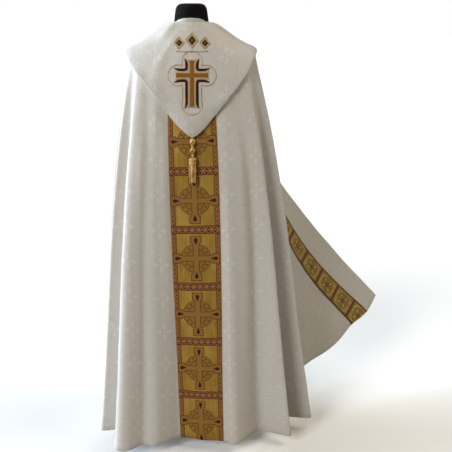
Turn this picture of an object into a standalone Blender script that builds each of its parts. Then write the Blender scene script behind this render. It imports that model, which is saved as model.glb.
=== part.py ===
"""A cope worn on a limbless dress form.

Units are metres and +Z is up. The origin is the middle of the stand's foot, on the floor.
The cope's back faces +Y, its open front faces -Y, and the wearer's left is +X.
The wearer's right front is held out to the side and forward, as it is shown.
A turn is an angle round the neck in degrees: 0 is the left shoulder, 90 the middle of the back,
180 the right shoulder and 270 the middle of the front.
"""

import math
from collections import namedtuple

import bmesh
import bpy
import numpy as np
from mathutils import Vector
from mathutils.bvhtree import BVHTree

# Driving sizes of the neck and shoulders
NECK_HALF_WIDTH = 0.0595
NECK_HALF_DEPTH = 0.060
NECK_SIDE_HEIGHT = 1.4640
NECK_BACK_RISE = 0.0075
NECK_FRONT_DROP = 0.045
NECK_TURN_SHARE = 0.82
EDGE_TURN = 174.0
NECK_HOLLOW = 0.011
SHOULDER_HALF_WIDTH = 0.216
SHOULDER_BACK_DEPTH = 0.128
SHOULDER_FRONT_DEPTH = 0.122
SHOULDER_SQUARENESS = 2.6
SHOULDER_HEIGHT = 1.3715
SHOULDER_DROP_BACK = 0.078
SHOULDER_DROP_FRONT = 0.095
ROUNDING_AT_SIDE = 0.022
ROUNDING_AT_BACK = 0.085

# Driving sizes of the cloth
HEM_HEIGHT = 0.040
CLOTH = 0.0020
EASE = 0.0021
SEAM_GAP = 0.0003
BAND_CLOTH = 0.0012
SIDE_BULGE = 0.020
SLACK_WAY = (0.64, 0.33, -0.70)
STEP_ACROSS_HEM = 0.040
MOST_STEPS = 3
YOKE_ROWS = 4
CORNER_ROWS = 4
FALL_ROWS = 8

# Driving sizes of the dress form
FORM_TOP = 1.533
TORSO_SQUARENESS = 2.3
POLE_RADIUS = 0.0125
FOOT_RADIUS = 0.172
FOOT_THICKNESS = 0.018
ROUND_SIDES = 32

# One row for each fold line or cut edge of the cope, from the left front edge round the back to
# the right one: the turn at which the line leaves the shoulder, where it ends at the hem across
# and towards the back, how far the hem is lifted there, and how slack the line hangs.
Line = namedtuple("Line", "name turn across back lift slack")
LINES = [
    Line("left front edge", -84.0, 0.036, -0.262, 0.000, 0.000),
    Line("left margin", -70.0, 0.082, -0.284, 0.000, 0.000),
    Line("left band, outer", -57.0, 0.124, -0.276, 0.000, 0.000),
    Line("left band, inner", -28.0, 0.212, -0.232, 0.000, 0.000),
    Line("valley", -20.0, 0.190, -0.140, 0.004, 0.000),
    Line("crest", -11.0, 0.334, -0.112, 0.006, 0.000),
    Line("valley", -3.0, 0.222, -0.026, 0.010, 0.000),
    Line("crest", 6.0, 0.350, 0.036, 0.012, 0.000),
    Line("valley", 14.0, 0.216, 0.098, 0.016, 0.000),
    Line("left side crest", 24.0, 0.332, 0.222, 0.012, 0.000),
    Line("hidden valley", 32.0, 0.204, 0.202, 0.010, 0.000),
    Line("left back crest, outer", 40.0, 0.273, 0.318, 0.000, 0.000),
    Line("left back crest, inner", 46.0, 0.232, 0.345, 0.000, 0.000),
    Line("shallow valley", 56.0, 0.178, 0.298, 0.000, 0.000),
    Line("shallow crest", 65.0, 0.128, 0.310, 0.000, 0.000),
    Line("back band, left", 74.6, 0.046, 0.252, 0.000, 0.000),
    Line("centre back", 90.0, -0.032, 0.268, 0.000, 0.000),
    Line("back band, right", 105.4, -0.109, 0.277, 0.000, 0.000),
    Line("right back crest", 113.0, -0.156, 0.299, 0.000, 0.000),
    Line("right back valley", 127.0, -0.236, 0.208, 0.000, 0.000),
    Line("broad crest", 143.0, -0.350, 0.240, 0.000, 0.000),
    Line("hidden valley", 157.0, -0.272, 0.124, 0.012, 0.000),
    Line("right side crest", 168.0, -0.432, 0.134, 0.014, 0.000),
    Line("hidden valley", 179.0, -0.262, 0.018, 0.030, 0.000),
    Line("panel, inner", 189.0, -0.428, -0.122, 0.098, 0.115),
    Line("panel, middle", 196.0, -0.524, -0.196, 0.128, 0.155),
    Line("panel, outer", 202.0, -0.584, -0.246, 0.156, 0.168),
    Line("right band, inner", 209.0, -0.640, -0.305, 0.197, 0.150),
    Line("right band, outer", 238.0, -0.713, -0.366, 0.232, 0.115),
    Line("right front edge", 264.0, -0.762, -0.442, 0.276, 0.040),
]

# The dress form below its shoulders: height, and half its width and depth
Section = namedtuple("Section", "height half_width back front")
TORSO = [
    Section(1.170, 0.184, 0.114, 0.118),
    Section(1.070, 0.166, 0.104, 0.112),
    Section(0.980, 0.150, 0.092, 0.100),
    Section(0.880, 0.166, 0.102, 0.102),
    Section(0.790, 0.178, 0.113, 0.105),
    Section(0.720, 0.172, 0.110, 0.101),
]

# The hood's free edge: its turn, and how far down it lies. At 1 the cloth starts to turn down at
# the shoulder, at 2 it hangs, and at 3 it would be at the hem.
Edge = namedtuple("Edge", "turn reach")
HOOD_EDGE = [
    Edge(-57.0, 1.10),
    Edge(-28.0, 1.24),
    Edge(0.0, 1.38),
    Edge(18.0, 1.51),
    Edge(28.0, 1.61),
    Edge(39.0, 1.70),
    Edge(52.0, 1.82),
    Edge(60.0, 1.93),
    Edge(66.0, 2.000),
    Edge(76.0, 2.036),
    Edge(84.0, 2.066),
    Edge(90.0, 2.091),
    Edge(95.0, 2.072),
    Edge(102.0, 2.044),
    Edge(113.0, 2.014),
    Edge(120.0, 1.990),
    Edge(128.0, 1.92),
    Edge(142.0, 1.78),
    Edge(157.0, 1.53),
    Edge(180.0, 1.38),
    Edge(209.0, 1.24),
    Edge(238.0, 1.10),
]
HOOD_CLOTH = 0.0020
HOOD_ROWS = 6
HOOD_REST = 0.0004
HOOD_STAND_OFF = 0.0040

# The collar: how far from the middle of the back, and how high it stands above the neck seam
Stand = namedtuple("Stand", "away height")
COLLAR = [
    Stand(0.0, 0.0130),
    Stand(30.0, 0.0125),
    Stand(50.0, 0.0090),
    Stand(66.0, 0.0045),
    Stand(180.0, 0.0045),
]
COLLAR_CLOTH = 0.0015
CLOSURE_CLOTH = 0.0030
HOOD_TIP = 2.091

# Outlines of turned pieces, from the top down: radius and how far below the top
Ring = namedtuple("Ring", "radius below")
CORD_KNOTS = [
    Ring(0.0025, 0.000),
    Ring(0.0040, 0.002),
    Ring(0.0088, 0.007),
    Ring(0.0096, 0.013),
    Ring(0.0080, 0.020),
    Ring(0.0040, 0.024),
    Ring(0.0050, 0.028),
    Ring(0.0042, 0.032),
    Ring(0.0090, 0.036),
    Ring(0.0104, 0.043),
    Ring(0.0088, 0.050),
    Ring(0.0042, 0.054),
    Ring(0.0052, 0.060),
    Ring(0.0040, 0.064),
]
Offset = namedtuple("Offset", "below out")
CORD_STAND = [
    Offset(0.000, 0.0052),
    Offset(0.003, 0.0080),
    Offset(0.007, 0.0125),
    Offset(0.013, 0.0145),
]
TASSEL_HEAD = [
    Ring(0.0050, 0.000),
    Ring(0.0105, 0.002),
    Ring(0.0122, 0.007),
    Ring(0.0118, 0.014),
    Ring(0.0108, 0.018),
]
TASSEL_SIDES = 14
TASSEL_LENGTH = 0.087
NECK_CAP = [
    Ring(0.0280, 0.0000),
    Ring(0.0400, 0.0025),
    Ring(0.0478, 0.0085),
    Ring(0.0520, 0.0165),
    Ring(0.0540, 0.0260),
    Ring(0.0565, 0.0440),
]

# The cross on the hood
CROSS_CENTRE_BELOW = 0.180
CROSS_ACROSS = -0.005
CROSS_BAR_HALF = 0.0135
CROSS_FLARE_HALF = 0.0250
CROSS_FLARE_LENGTH = 0.020
CROSS_SIDE_REACH = 0.056
CROSS_TOP_REACH = 0.052
CROSS_FOOT_REACH = 0.106
CROSS_CLOTH = 0.0012
CROSS_STEP = 0.010


def clear_scene():
    """Removes whatever the file opened with."""
    for obj in list(bpy.data.objects):
        bpy.data.objects.remove(obj)


def material(name, colour, roughness, metallic=0.0):
    """A Principled finish of one colour."""
    made = bpy.data.materials.new(name)
    made.use_nodes = True
    shader = made.node_tree.nodes["Principled BSDF"]
    shader.inputs["Base Color"].default_value = (*colour, 1.0)
    shader.inputs["Roughness"].default_value = roughness
    shader.inputs["Metallic"].default_value = metallic
    return made


def add_object(name, mesh, finish, smooth=True):
    """One named object for one sub-part."""
    obj = bpy.data.objects.new(name, mesh)
    bpy.context.scene.collection.objects.link(obj)
    mesh.materials.append(finish)
    if smooth:
        mesh.shade_smooth()
        mesh.set_sharp_from_angle(angle=math.radians(50))
    return obj


def power(value, exponent):
    """A signed power, for superellipses."""
    return math.copysign(abs(value) ** exponent, value)


def neck_point(turn, ease):
    """A point of the neck seam, ease outside the form."""
    away = (turn + 90.0) % 360.0 - 180.0
    share = NECK_TURN_SHARE * EDGE_TURN
    if abs(away) <= EDGE_TURN:
        around = NECK_TURN_SHARE * away
    else:
        past = (abs(away) - EDGE_TURN) / (180.0 - EDGE_TURN)
        around = math.copysign(share + past * (180.0 - share), away)
    angle = math.radians(90.0 + around)
    back = max(0.0, math.sin(angle))
    front = max(0.0, -math.sin(angle))
    return Vector((
        (NECK_HALF_WIDTH + ease) * math.cos(angle),
        (NECK_HALF_DEPTH + ease) * math.sin(angle),
        NECK_SIDE_HEIGHT + NECK_BACK_RISE * back - NECK_FRONT_DROP * front ** 2 + ease,
    ))


def shoulder_point(turn, ease):
    """A point of the line where the cloth turns from lying to hanging."""
    angle = math.radians(turn)
    depth = SHOULDER_BACK_DEPTH if math.sin(angle) > 0 else SHOULDER_FRONT_DEPTH
    drop = SHOULDER_DROP_BACK if math.sin(angle) > 0 else SHOULDER_DROP_FRONT
    exponent = 2.0 / SHOULDER_SQUARENESS
    across = power(math.cos(angle), exponent)
    towards = power(math.sin(angle), exponent)
    return Vector((
        (SHOULDER_HALF_WIDTH + ease) * across,
        (depth + ease) * towards,
        SHOULDER_HEIGHT + ease - drop * towards * towards,
    ))


def rounding(turn):
    """How far from the shoulder line the cloth starts and stops turning down."""
    towards = math.sin(math.radians(turn)) ** 2
    return ROUNDING_AT_SIDE + (ROUNDING_AT_BACK - ROUNDING_AT_SIDE) * towards


def bulge(share):
    """A swelling that is nothing at both ends and fullest a third of the way down."""
    return share * (1.0 - share) ** 2 * 6.75


def sag(share):
    """How a slack line hangs: nothing at both ends and lowest a little above its middle."""
    return share * (1.0 - share) ** 1.25 * 4.69


def row_shares(yoke, corner, fall):
    """The rows of a path: which stretch each lies in, and how far along that stretch."""
    rows = [("yoke", i / yoke) for i in range(yoke)]
    rows += [("corner", i / corner) for i in range(corner)]
    rows += [("fall", i / fall) for i in range(fall + 1)]
    return rows


def path_point(stretch, share, turn, hem, slack, ease):
    """A point on the way from the neck over the shoulder and down to the hem."""
    neck = neck_point(turn, ease)
    shoulder = shoulder_point(turn, ease)
    near = rounding(turn)
    start = shoulder + (neck - shoulder).normalized() * near
    stop = shoulder + (hem - shoulder).normalized() * near
    if stretch == "yoke":
        point = neck.lerp(start, share)
        crown = share * (1.0 - share) ** 4 / 0.08192
        point.z += NECK_HOLLOW * crown * math.cos(math.radians(turn)) ** 2
        return point
    if stretch == "corner":
        return start.lerp(shoulder, share).lerp(shoulder.lerp(stop, share), share)
    point = stop.lerp(hem, share)
    out = Vector((hem.x, hem.y, 0.0)).normalized()
    point += out * SIDE_BULGE * bulge(share)
    point += Vector(SLACK_WAY) * slack * sag(share)
    return point


def spline(points, at):
    """A smooth value at a fractional index along rows of numbers."""
    last = len(points) - 1
    i = min(int(at), last - 1)
    t = at - i
    before = points[i - 1] if i > 0 else 2 * points[0] - points[1]
    after = points[i + 2] if i + 2 <= last else 2 * points[last] - points[last - 1]
    a, b = points[i], points[i + 1]
    return 0.5 * (
        2 * a
        + (b - before) * t
        + (2 * before - 5 * a + 4 * b - after) * t * t
        + (3 * a - before - 3 * b + after) * t ** 3
    )


LINE_VALUES = np.array([
    (row.across, row.back, HEM_HEIGHT + row.lift, row.slack) for row in LINES
])


def line_index(name):
    """The place of a named line in the table."""
    return [row.name for row in LINES].index(name)


def column_places():
    """Fractional line numbers of the columns, closer together where the hem is wider."""
    places = []
    for i, (a, b) in enumerate(zip(LINES, LINES[1:])):
        width = math.hypot(b.across - a.across, b.back - a.back)
        steps = max(1, min(MOST_STEPS, round(width / STEP_ACROSS_HEM)))
        places += [i + k / steps for k in range(steps)]
    return places + [len(LINES) - 1]


def turn_at(at):
    """The turn of a fractional line number."""
    return float(np.interp(at, range(len(LINES)), [row.turn for row in LINES]))


def cope_point(at, stretch, share, ease):
    """A point of the cope at a fractional line number."""
    values = spline(LINE_VALUES, at)
    slack = max(0.0, values[3])
    return path_point(stretch, share, turn_at(at), Vector(values[:3]), slack, ease)


def reach_row(reach):
    """The stretch and share of a reach: yoke up to 1, corner up to 2, fall beyond."""
    stretch = min(int(reach), 2)
    return ("yoke", "corner", "fall")[stretch], reach - stretch


def cope_grid():
    """Points of the cope's outer side, as columns of rows."""
    rows = row_shares(YOKE_ROWS, CORNER_ROWS, FALL_ROWS)
    return np.array([[cope_point(at, *row, EASE) for row in rows] for at in column_places()])


def grid_normals(grid):
    """The outward direction at each point of a grid."""
    across = np.gradient(grid, axis=0)
    down = np.gradient(grid, axis=1)
    normals = np.cross(down, across)
    return normals / np.linalg.norm(normals, axis=2, keepdims=True)


def finish_mesh(mesh, name):
    """Turns all faces outward and hands over the mesh."""
    bmesh.ops.recalc_face_normals(mesh, faces=mesh.faces)
    made = bpy.data.meshes.new(name)
    mesh.to_mesh(made)
    mesh.free()
    return made


def wall_from_grid(grid, normals, inner, outer, name):
    """A closed wall whose two faces lie inner and outer beyond the grid."""
    columns, rows = grid.shape[:2]
    mesh = bmesh.new()
    top, under = (
        [[mesh.verts.new(p) for p in column] for column in grid + normals * lift]
        for lift in (outer, inner)
    )
    for i in range(columns - 1):
        for j in range(rows - 1):
            mesh.faces.new((top[i][j], top[i][j + 1], top[i + 1][j + 1], top[i + 1][j]))
            mesh.faces.new((under[i][j], under[i + 1][j], under[i + 1][j + 1], under[i][j + 1]))
    for i in range(columns - 1):
        mesh.faces.new((top[i][0], top[i + 1][0], under[i + 1][0], under[i][0]))
        mesh.faces.new((top[i + 1][-1], top[i][-1], under[i][-1], under[i + 1][-1]))
    for j in range(rows - 1):
        mesh.faces.new((top[0][j + 1], top[0][j], under[0][j], under[0][j + 1]))
        mesh.faces.new((top[-1][j], top[-1][j + 1], under[-1][j + 1], under[-1][j]))
    return finish_mesh(mesh, name)


def solid_from_rings(rings, name):
    """A closed solid through rings of points, from one end to the other."""
    mesh = bmesh.new()
    loops = [[mesh.verts.new(p) for p in ring] for ring in rings]
    for a, b in zip(loops, loops[1:]):
        for i, point in enumerate(a):
            mesh.faces.new((a[i - 1], point, b[i], b[i - 1]))
    for loop in (loops[0], loops[-1]):
        middle = mesh.verts.new(sum((v.co for v in loop), Vector()) / len(loop))
        for i, point in enumerate(loop):
            mesh.faces.new((loop[i - 1], point, middle))
    return finish_mesh(mesh, name)


def circle(radius, centre, across, back, sides):
    """Points round a centre in the plane of two directions."""
    turns = [2 * math.pi * i / sides for i in range(sides)]
    return [
        centre + radius * (math.cos(t) * across + math.sin(t) * back) for t in turns
    ]


def build_cope(grid, normals, finish):
    """The two halves of the cope, which meet in a seam down the middle of the back."""
    seam = column_places().index(line_index("centre back"))
    halves = {
        "cope_left_half": (slice(0, seam + 1), -1, 1.0),
        "cope_right_half": (slice(seam, None), 0, -1.0),
    }
    for name, (part, edge, side) in halves.items():
        half = grid[part].copy()
        half[edge, :, 0] += side * 0.5 * SEAM_GAP
        mesh = wall_from_grid(half, normals[part], -CLOTH, 0.0, name)
        add_object(name, mesh, finish)


def build_band(grid, normals, name, first, last, finish):
    """A band laid on the cope, from under the hood to the hem."""
    places = column_places()
    part = slice(places.index(line_index(first)), places.index(line_index(last)) + 1)
    rows = slice(YOKE_ROWS, None)
    outer = SEAM_GAP + BAND_CLOTH
    mesh = wall_from_grid(grid[part, rows], normals[part, rows], SEAM_GAP, outer, name)
    add_object(name, mesh, finish)


def hood_grid():
    """Points of the cope under the hood, and how far up each is along the hood."""
    first = line_index("left band, outer")
    last = line_index("right band, outer")
    turns = [row.turn for row in HOOD_EDGE]
    reaches = [row.reach for row in HOOD_EDGE]
    columns = []
    lifts = []
    for at in [place for place in column_places() if first <= place <= last]:
        edge = float(np.interp(turn_at(at), turns, reaches))
        down = [i / YOKE_ROWS for i in range(YOKE_ROWS)]
        down += [1.0 + (edge - 1.0) * i / (HOOD_ROWS - 1) for i in range(HOOD_ROWS)]
        columns.append([cope_point(at, *reach_row(reach), EASE) for reach in down])
        lifts.append([[HOOD_REST + (HOOD_STAND_OFF - HOOD_REST) * min(1.0, r)] for r in down])
    return np.array(columns), np.array(lifts)


def build_hood(finish):
    """The shield-shaped hood, which hangs from the neck seam over the shoulders."""
    grid, lifts = hood_grid()
    normals = grid_normals(grid)
    mesh = wall_from_grid(grid, normals, lifts, lifts + HOOD_CLOTH, "hood")
    return add_object("hood", mesh, finish)


def build_collar(finish):
    """The neck binding, which rises to a low stand at the back."""
    mesh = bmesh.new()
    corners = []
    for at in column_places():
        turn = turn_at(at)
        seam = neck_point(turn, EASE)
        height = float(np.interp(abs(turn - 90.0), *zip(*COLLAR)))
        out = Vector((seam.x, seam.y, 0.0)).normalized()
        foot = seam - out * 0.0004 + Vector((0.0, 0.0, SEAM_GAP))
        top = foot + Vector((0.0, 0.0, height))
        profile = (foot, top, top - out * COLLAR_CLOTH, foot - out * COLLAR_CLOTH)
        corners.append([mesh.verts.new(p) for p in profile])
    for a, b in zip(corners, corners[1:]):
        for i in range(4):
            mesh.faces.new((a[i - 1], a[i], b[i], b[i - 1]))
    mesh.faces.new(corners[0])
    mesh.faces.new(corners[-1])
    add_object("collar", finish_mesh(mesh, "collar"), finish)


def build_closure(finish):
    """The cloth tab that joins the two fronts on the chest, shown fastened."""
    rows = row_shares(YOKE_ROWS, CORNER_ROWS, FALL_ROWS)[2:YOKE_ROWS + 3]
    places = column_places()
    hem = Vector((0.0, LINES[0].back, HEM_HEIGHT))
    grid = [[cope_point(at, *row, EASE) for row in rows] for at in places[-2:]]
    grid.append([path_point(*row, 270.0, hem, 0.0, EASE) for row in rows])
    edge = places.index(line_index("left margin"))
    grid += [[cope_point(at, *row, EASE) for row in rows] for at in places[:edge + 1]]
    grid = np.array(grid)
    outer = SEAM_GAP + CLOSURE_CLOTH
    mesh = wall_from_grid(grid, grid_normals(grid), SEAM_GAP, outer, "closure_tab")
    add_object("closure_tab", mesh, finish)


def cross_outline():
    """The cross's edge as distances across and below its crossing, for the arms in turn."""
    bar, flare, length = CROSS_BAR_HALF, CROSS_FLARE_HALF, CROSS_FLARE_LENGTH
    points = []
    reaches = (CROSS_SIDE_REACH, CROSS_TOP_REACH, CROSS_SIDE_REACH, CROSS_FOOT_REACH)
    for quarter, reach in enumerate(reaches):
        c, s = ((1, 0), (0, 1), (-1, 0), (0, -1))[quarter]
        shape = ((bar, -bar), (reach - length, -bar), (reach, -flare))
        shape += ((reach, flare), (reach - length, bar))
        points += [(x * c - y * s, x * s + y * c) for x, y in shape]
    return points


def build_cross(hood, finish):
    """The raised cross on the hood, laid on its outer side."""
    tree = BVHTree.FromPolygons(
        [v.co for v in hood.data.vertices], [p.vertices for p in hood.data.polygons]
    )
    at = line_index("centre back")
    reaches = np.linspace(0.0, 2.09, 200)
    track = [cope_point(at, *reach_row(float(r)), EASE) for r in reaches]
    below = np.cumsum([0.0] + [(b - a).length for a, b in zip(track, track[1:])])
    flat = bmesh.new()
    flat.faces.new([flat.verts.new((x, y, 0.0)) for x, y in cross_outline()])
    cuts = [((0.0, y, 0.0), (0.0, 1.0, 0.0)) for y in np.arange(-0.10, 0.06, CROSS_STEP)]
    cuts += [((x, 0.0, 0.0), (1.0, 0.0, 0.0)) for x in np.arange(-0.045, 0.05, 0.015)]
    for spot, way in cuts:
        everything = flat.verts[:] + flat.edges[:] + flat.faces[:]
        bmesh.ops.bisect_plane(flat, geom=everything, plane_co=spot, plane_no=way)
    bmesh.ops.triangulate(flat, faces=flat.faces)
    mesh = bmesh.new()
    pairs = []
    for vert in flat.verts:
        down = CROSS_CENTRE_BELOW - vert.co.y
        spot = [float(np.interp(down, below, [p[k] for p in track])) for k in range(3)]
        start = Vector((CROSS_ACROSS - vert.co.x, spot[1] + 0.5, spot[2]))
        hit, normal = tree.ray_cast(start, Vector((0.0, -1.0, 0.0)))[:2]
        near = hit + normal * 2 * SEAM_GAP
        pairs.append((mesh.verts.new(near), mesh.verts.new(near + normal * CROSS_CLOTH)))
    for face in flat.faces:
        a, b, c = (v.index for v in face.verts)
        mesh.faces.new((pairs[a][0], pairs[b][0], pairs[c][0]))
        mesh.faces.new((pairs[c][1], pairs[b][1], pairs[a][1]))
    for edge in flat.edges:
        if edge.is_boundary:
            a, b = (pairs[v.index] for v in edge.verts)
            mesh.faces.new((a[0], b[0], b[1], a[1]))
    flat.free()
    add_object("hood_cross", finish_mesh(mesh, "hood_cross"), finish, smooth=False)


def hanging_line():
    """Where the cord starts under the hood's point, and which way it and the tassel lie."""
    at = line_index("centre back")
    tip = cope_point(at, *reach_row(HOOD_TIP), EASE)
    lower = cope_point(at, *reach_row(HOOD_TIP + 0.13), EASE)
    down = (lower - tip).normalized()
    down.x = 0.0
    down.normalize()
    out = Vector((0.0, -down.z, down.y))
    return tip, down, out


def build_cord_and_tassel(finish):
    """The knotted cord under the hood's point, and the tassel on it."""
    tip, down, out = hanging_line()
    across = Vector((1.0, 0.0, 0.0))
    rings = []
    for row in CORD_KNOTS:
        stand = float(np.interp(row.below, *zip(*CORD_STAND)))
        centre = tip + down * (row.below + 2 * SEAM_GAP) + out * stand
        rings.append(circle(row.radius, centre, across, out, 12))
    add_object("tassel_cord", solid_from_rings(rings, "tassel_cord"), finish)

    top = tip + down * (CORD_KNOTS[-1].below + 3 * SEAM_GAP) + out * CORD_STAND[-1].out
    mesh = bmesh.new()
    rings = [
        [mesh.verts.new(p) for p in circle(row.radius, top + down * row.below, across, out, TASSEL_SIDES)]
        for row in TASSEL_HEAD
    ]
    end = top + down * TASSEL_HEAD[-1].below
    rings.append([mesh.verts.new(p) for p in circle(0.0058, end, across, out, TASSEL_SIDES)])
    crown = mesh.verts.new(top)
    middle = mesh.verts.new(end)
    strands = []
    for a, b in zip(rings, rings[1:]):
        for i in range(TASSEL_SIDES):
            face = mesh.faces.new((a[i - 1], a[i], b[i], b[i - 1]))
            if b is rings[-1]:
                strands.append(face)
    for i in range(TASSEL_SIDES):
        mesh.faces.new((rings[0][i - 1], rings[0][i], crown))
    inner = rings[-1]
    for i in range(0, TASSEL_SIDES, 2):
        strands.append(mesh.faces.new((inner[i - 2], inner[i - 1], inner[i], middle)))
    bmesh.ops.recalc_face_normals(mesh, faces=mesh.faces)
    bmesh.ops.inset_individual(mesh, faces=strands, thickness=0.0003)
    pushed = bmesh.ops.extrude_discrete_faces(mesh, faces=strands)["faces"]
    length = TASSEL_LENGTH - TASSEL_HEAD[-1].below
    for i, face in enumerate(pushed):
        drop = length * (1.0 - 0.03 * ((i * 5) % 7) / 6)
        bmesh.ops.translate(mesh, vec=down * drop, verts=face.verts)
    add_object("tassel", finish_mesh(mesh, "tassel"), finish)


def form_ring(turns, stretch, share):
    """A ring of the dress form on its neck and shoulders."""
    ring = []
    for turn in turns:
        hem = torso_point(turn, TORSO[0])
        point = path_point(stretch, share, turn, hem, 0.0, 0.0)
        ring.append(point)
    return ring


def torso_point(turn, section):
    """A point of the dress form's outline at one of its sections."""
    angle = math.radians(turn)
    depth = section.back if math.sin(angle) > 0 else section.front
    exponent = 2.0 / TORSO_SQUARENESS
    return Vector((
        section.half_width * power(math.cos(angle), exponent),
        depth * power(math.sin(angle), exponent),
        section.height,
    ))


def build_form(cloth, metal):
    """The limbless dress form with its pole and foot."""
    turns = [turn_at(at) for at in column_places()] + [270.0]
    rings = []
    for row in NECK_CAP:
        ring = []
        for turn in turns:
            way = neck_point(turn, 0.0)
            way.z = 0.0
            spot = way.normalized() * row.radius
            spot.z = FORM_TOP - row.below
            ring.append(spot)
        rings.append(ring)
    rows = [("yoke", i / YOKE_ROWS) for i in range(YOKE_ROWS)]
    rows += [("corner", i / CORNER_ROWS) for i in range(CORNER_ROWS + 1)]
    rings += [form_ring(turns, *row) for row in rows]
    rings += [[torso_point(turn, section) for turn in turns] for section in TORSO]
    add_object("form_body", solid_from_rings(rings, "form_body"), cloth)

    across, back = Vector((1.0, 0.0, 0.0)), Vector((0.0, 1.0, 0.0))
    top = TORSO[-1].height - SEAM_GAP
    heights = (FOOT_THICKNESS + SEAM_GAP, top)
    rings = [circle(POLE_RADIUS, Vector((0.0, 0.0, z)), across, back, 16) for z in heights]
    add_object("form_pole", solid_from_rings(rings, "form_pole"), metal)
    rim = ((FOOT_RADIUS, 0.0), (FOOT_RADIUS, 0.012), (FOOT_RADIUS - 0.006, FOOT_THICKNESS))
    rings = [circle(r, Vector((0.0, 0.0, z)), across, back, ROUND_SIDES) for r, z in rim]
    add_object("form_foot", solid_from_rings(rings, "form_foot"), metal)


def main():
    clear_scene()
    brocade = material("ivory brocade", (0.80, 0.77, 0.70), 0.55)
    gold = material("gold band", (0.50, 0.33, 0.12), 0.45, 0.2)
    cross = material("cross cloth", (0.42, 0.20, 0.07), 0.60)
    cord = material("gold cord", (0.66, 0.50, 0.22), 0.55)
    cover = material("form cover", (0.012, 0.012, 0.013), 0.80)
    metal = material("stand metal", (0.03, 0.03, 0.032), 0.40, 0.9)
    grid = cope_grid()
    normals = grid_normals(grid)
    build_form(cover, metal)
    build_cope(grid, normals, brocade)
    build_band(grid, normals, "back_band", "back band, left", "back band, right", gold)
    build_band(grid, normals, "left_front_band", "left band, outer", "left band, inner", gold)
    build_band(grid, normals, "right_front_band", "right band, inner", "right band, outer", gold)
    hood = build_hood(brocade)
    build_collar(brocade)
    build_closure(gold)
    build_cross(hood, cross)
    build_cord_and_tassel(cord)


main()
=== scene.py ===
import math
from collections import namedtuple

import bmesh
import bpy
import numpy as np
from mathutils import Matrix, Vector, noise
from mathutils.bvhtree import BVHTree


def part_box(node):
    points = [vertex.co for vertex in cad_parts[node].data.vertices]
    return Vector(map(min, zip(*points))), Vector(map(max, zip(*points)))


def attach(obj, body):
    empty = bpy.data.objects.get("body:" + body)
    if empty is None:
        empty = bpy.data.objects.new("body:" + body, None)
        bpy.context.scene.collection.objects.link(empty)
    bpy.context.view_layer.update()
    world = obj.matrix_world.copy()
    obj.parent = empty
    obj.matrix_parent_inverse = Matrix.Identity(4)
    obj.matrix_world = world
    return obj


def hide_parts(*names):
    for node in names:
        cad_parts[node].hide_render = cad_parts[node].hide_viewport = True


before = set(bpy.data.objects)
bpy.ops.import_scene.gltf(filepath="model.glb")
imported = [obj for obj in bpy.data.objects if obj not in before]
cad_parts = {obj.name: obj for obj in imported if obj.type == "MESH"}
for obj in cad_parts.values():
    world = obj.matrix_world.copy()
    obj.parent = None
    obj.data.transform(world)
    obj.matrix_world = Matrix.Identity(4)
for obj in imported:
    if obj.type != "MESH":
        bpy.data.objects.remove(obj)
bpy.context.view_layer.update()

# Sizes of the neck, shoulders and drape, in metres; a turn is an angle round the neck in degrees,
# 0 at the left shoulder, 90 at the middle of the back and 180 at the right shoulder.
NECK_HALF_WIDTH = 0.0595
NECK_HALF_DEPTH = 0.060
NECK_SIDE_HEIGHT = 1.4640
NECK_BACK_RISE = 0.0075
NECK_FRONT_DROP = 0.045
NECK_TURN_SHARE = 0.82
EDGE_TURN = 174.0
NECK_HOLLOW = 0.011
SHOULDER_HALF_WIDTH = 0.216
SHOULDER_BACK_DEPTH = 0.128
SHOULDER_FRONT_DEPTH = 0.122
SHOULDER_SQUARENESS = 2.6
SHOULDER_HEIGHT = 1.3715
SHOULDER_DROP_BACK = 0.078
SHOULDER_DROP_FRONT = 0.095
ROUNDING_AT_SIDE = 0.022
ROUNDING_AT_BACK = 0.085
HEM_HEIGHT = 0.040
CLOTH = 0.0020
EASE = 0.0021
SEAM_GAP = 0.0003
BAND_CLOTH = 0.0012
BAND_REST = 0.0004
SIDE_BULGE = 0.020
SLACK_WAY = (0.64, 0.33, -0.70)
FORM_TOP = 1.533
TORSO_SQUARENESS = 2.3
# What makes the fullest value of bulge, sag and the hollow by the neck 1
BULGE_SCALE = 6.75
SAG_SCALE = 4.69
CROWN_PEAK = 0.08192

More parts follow.
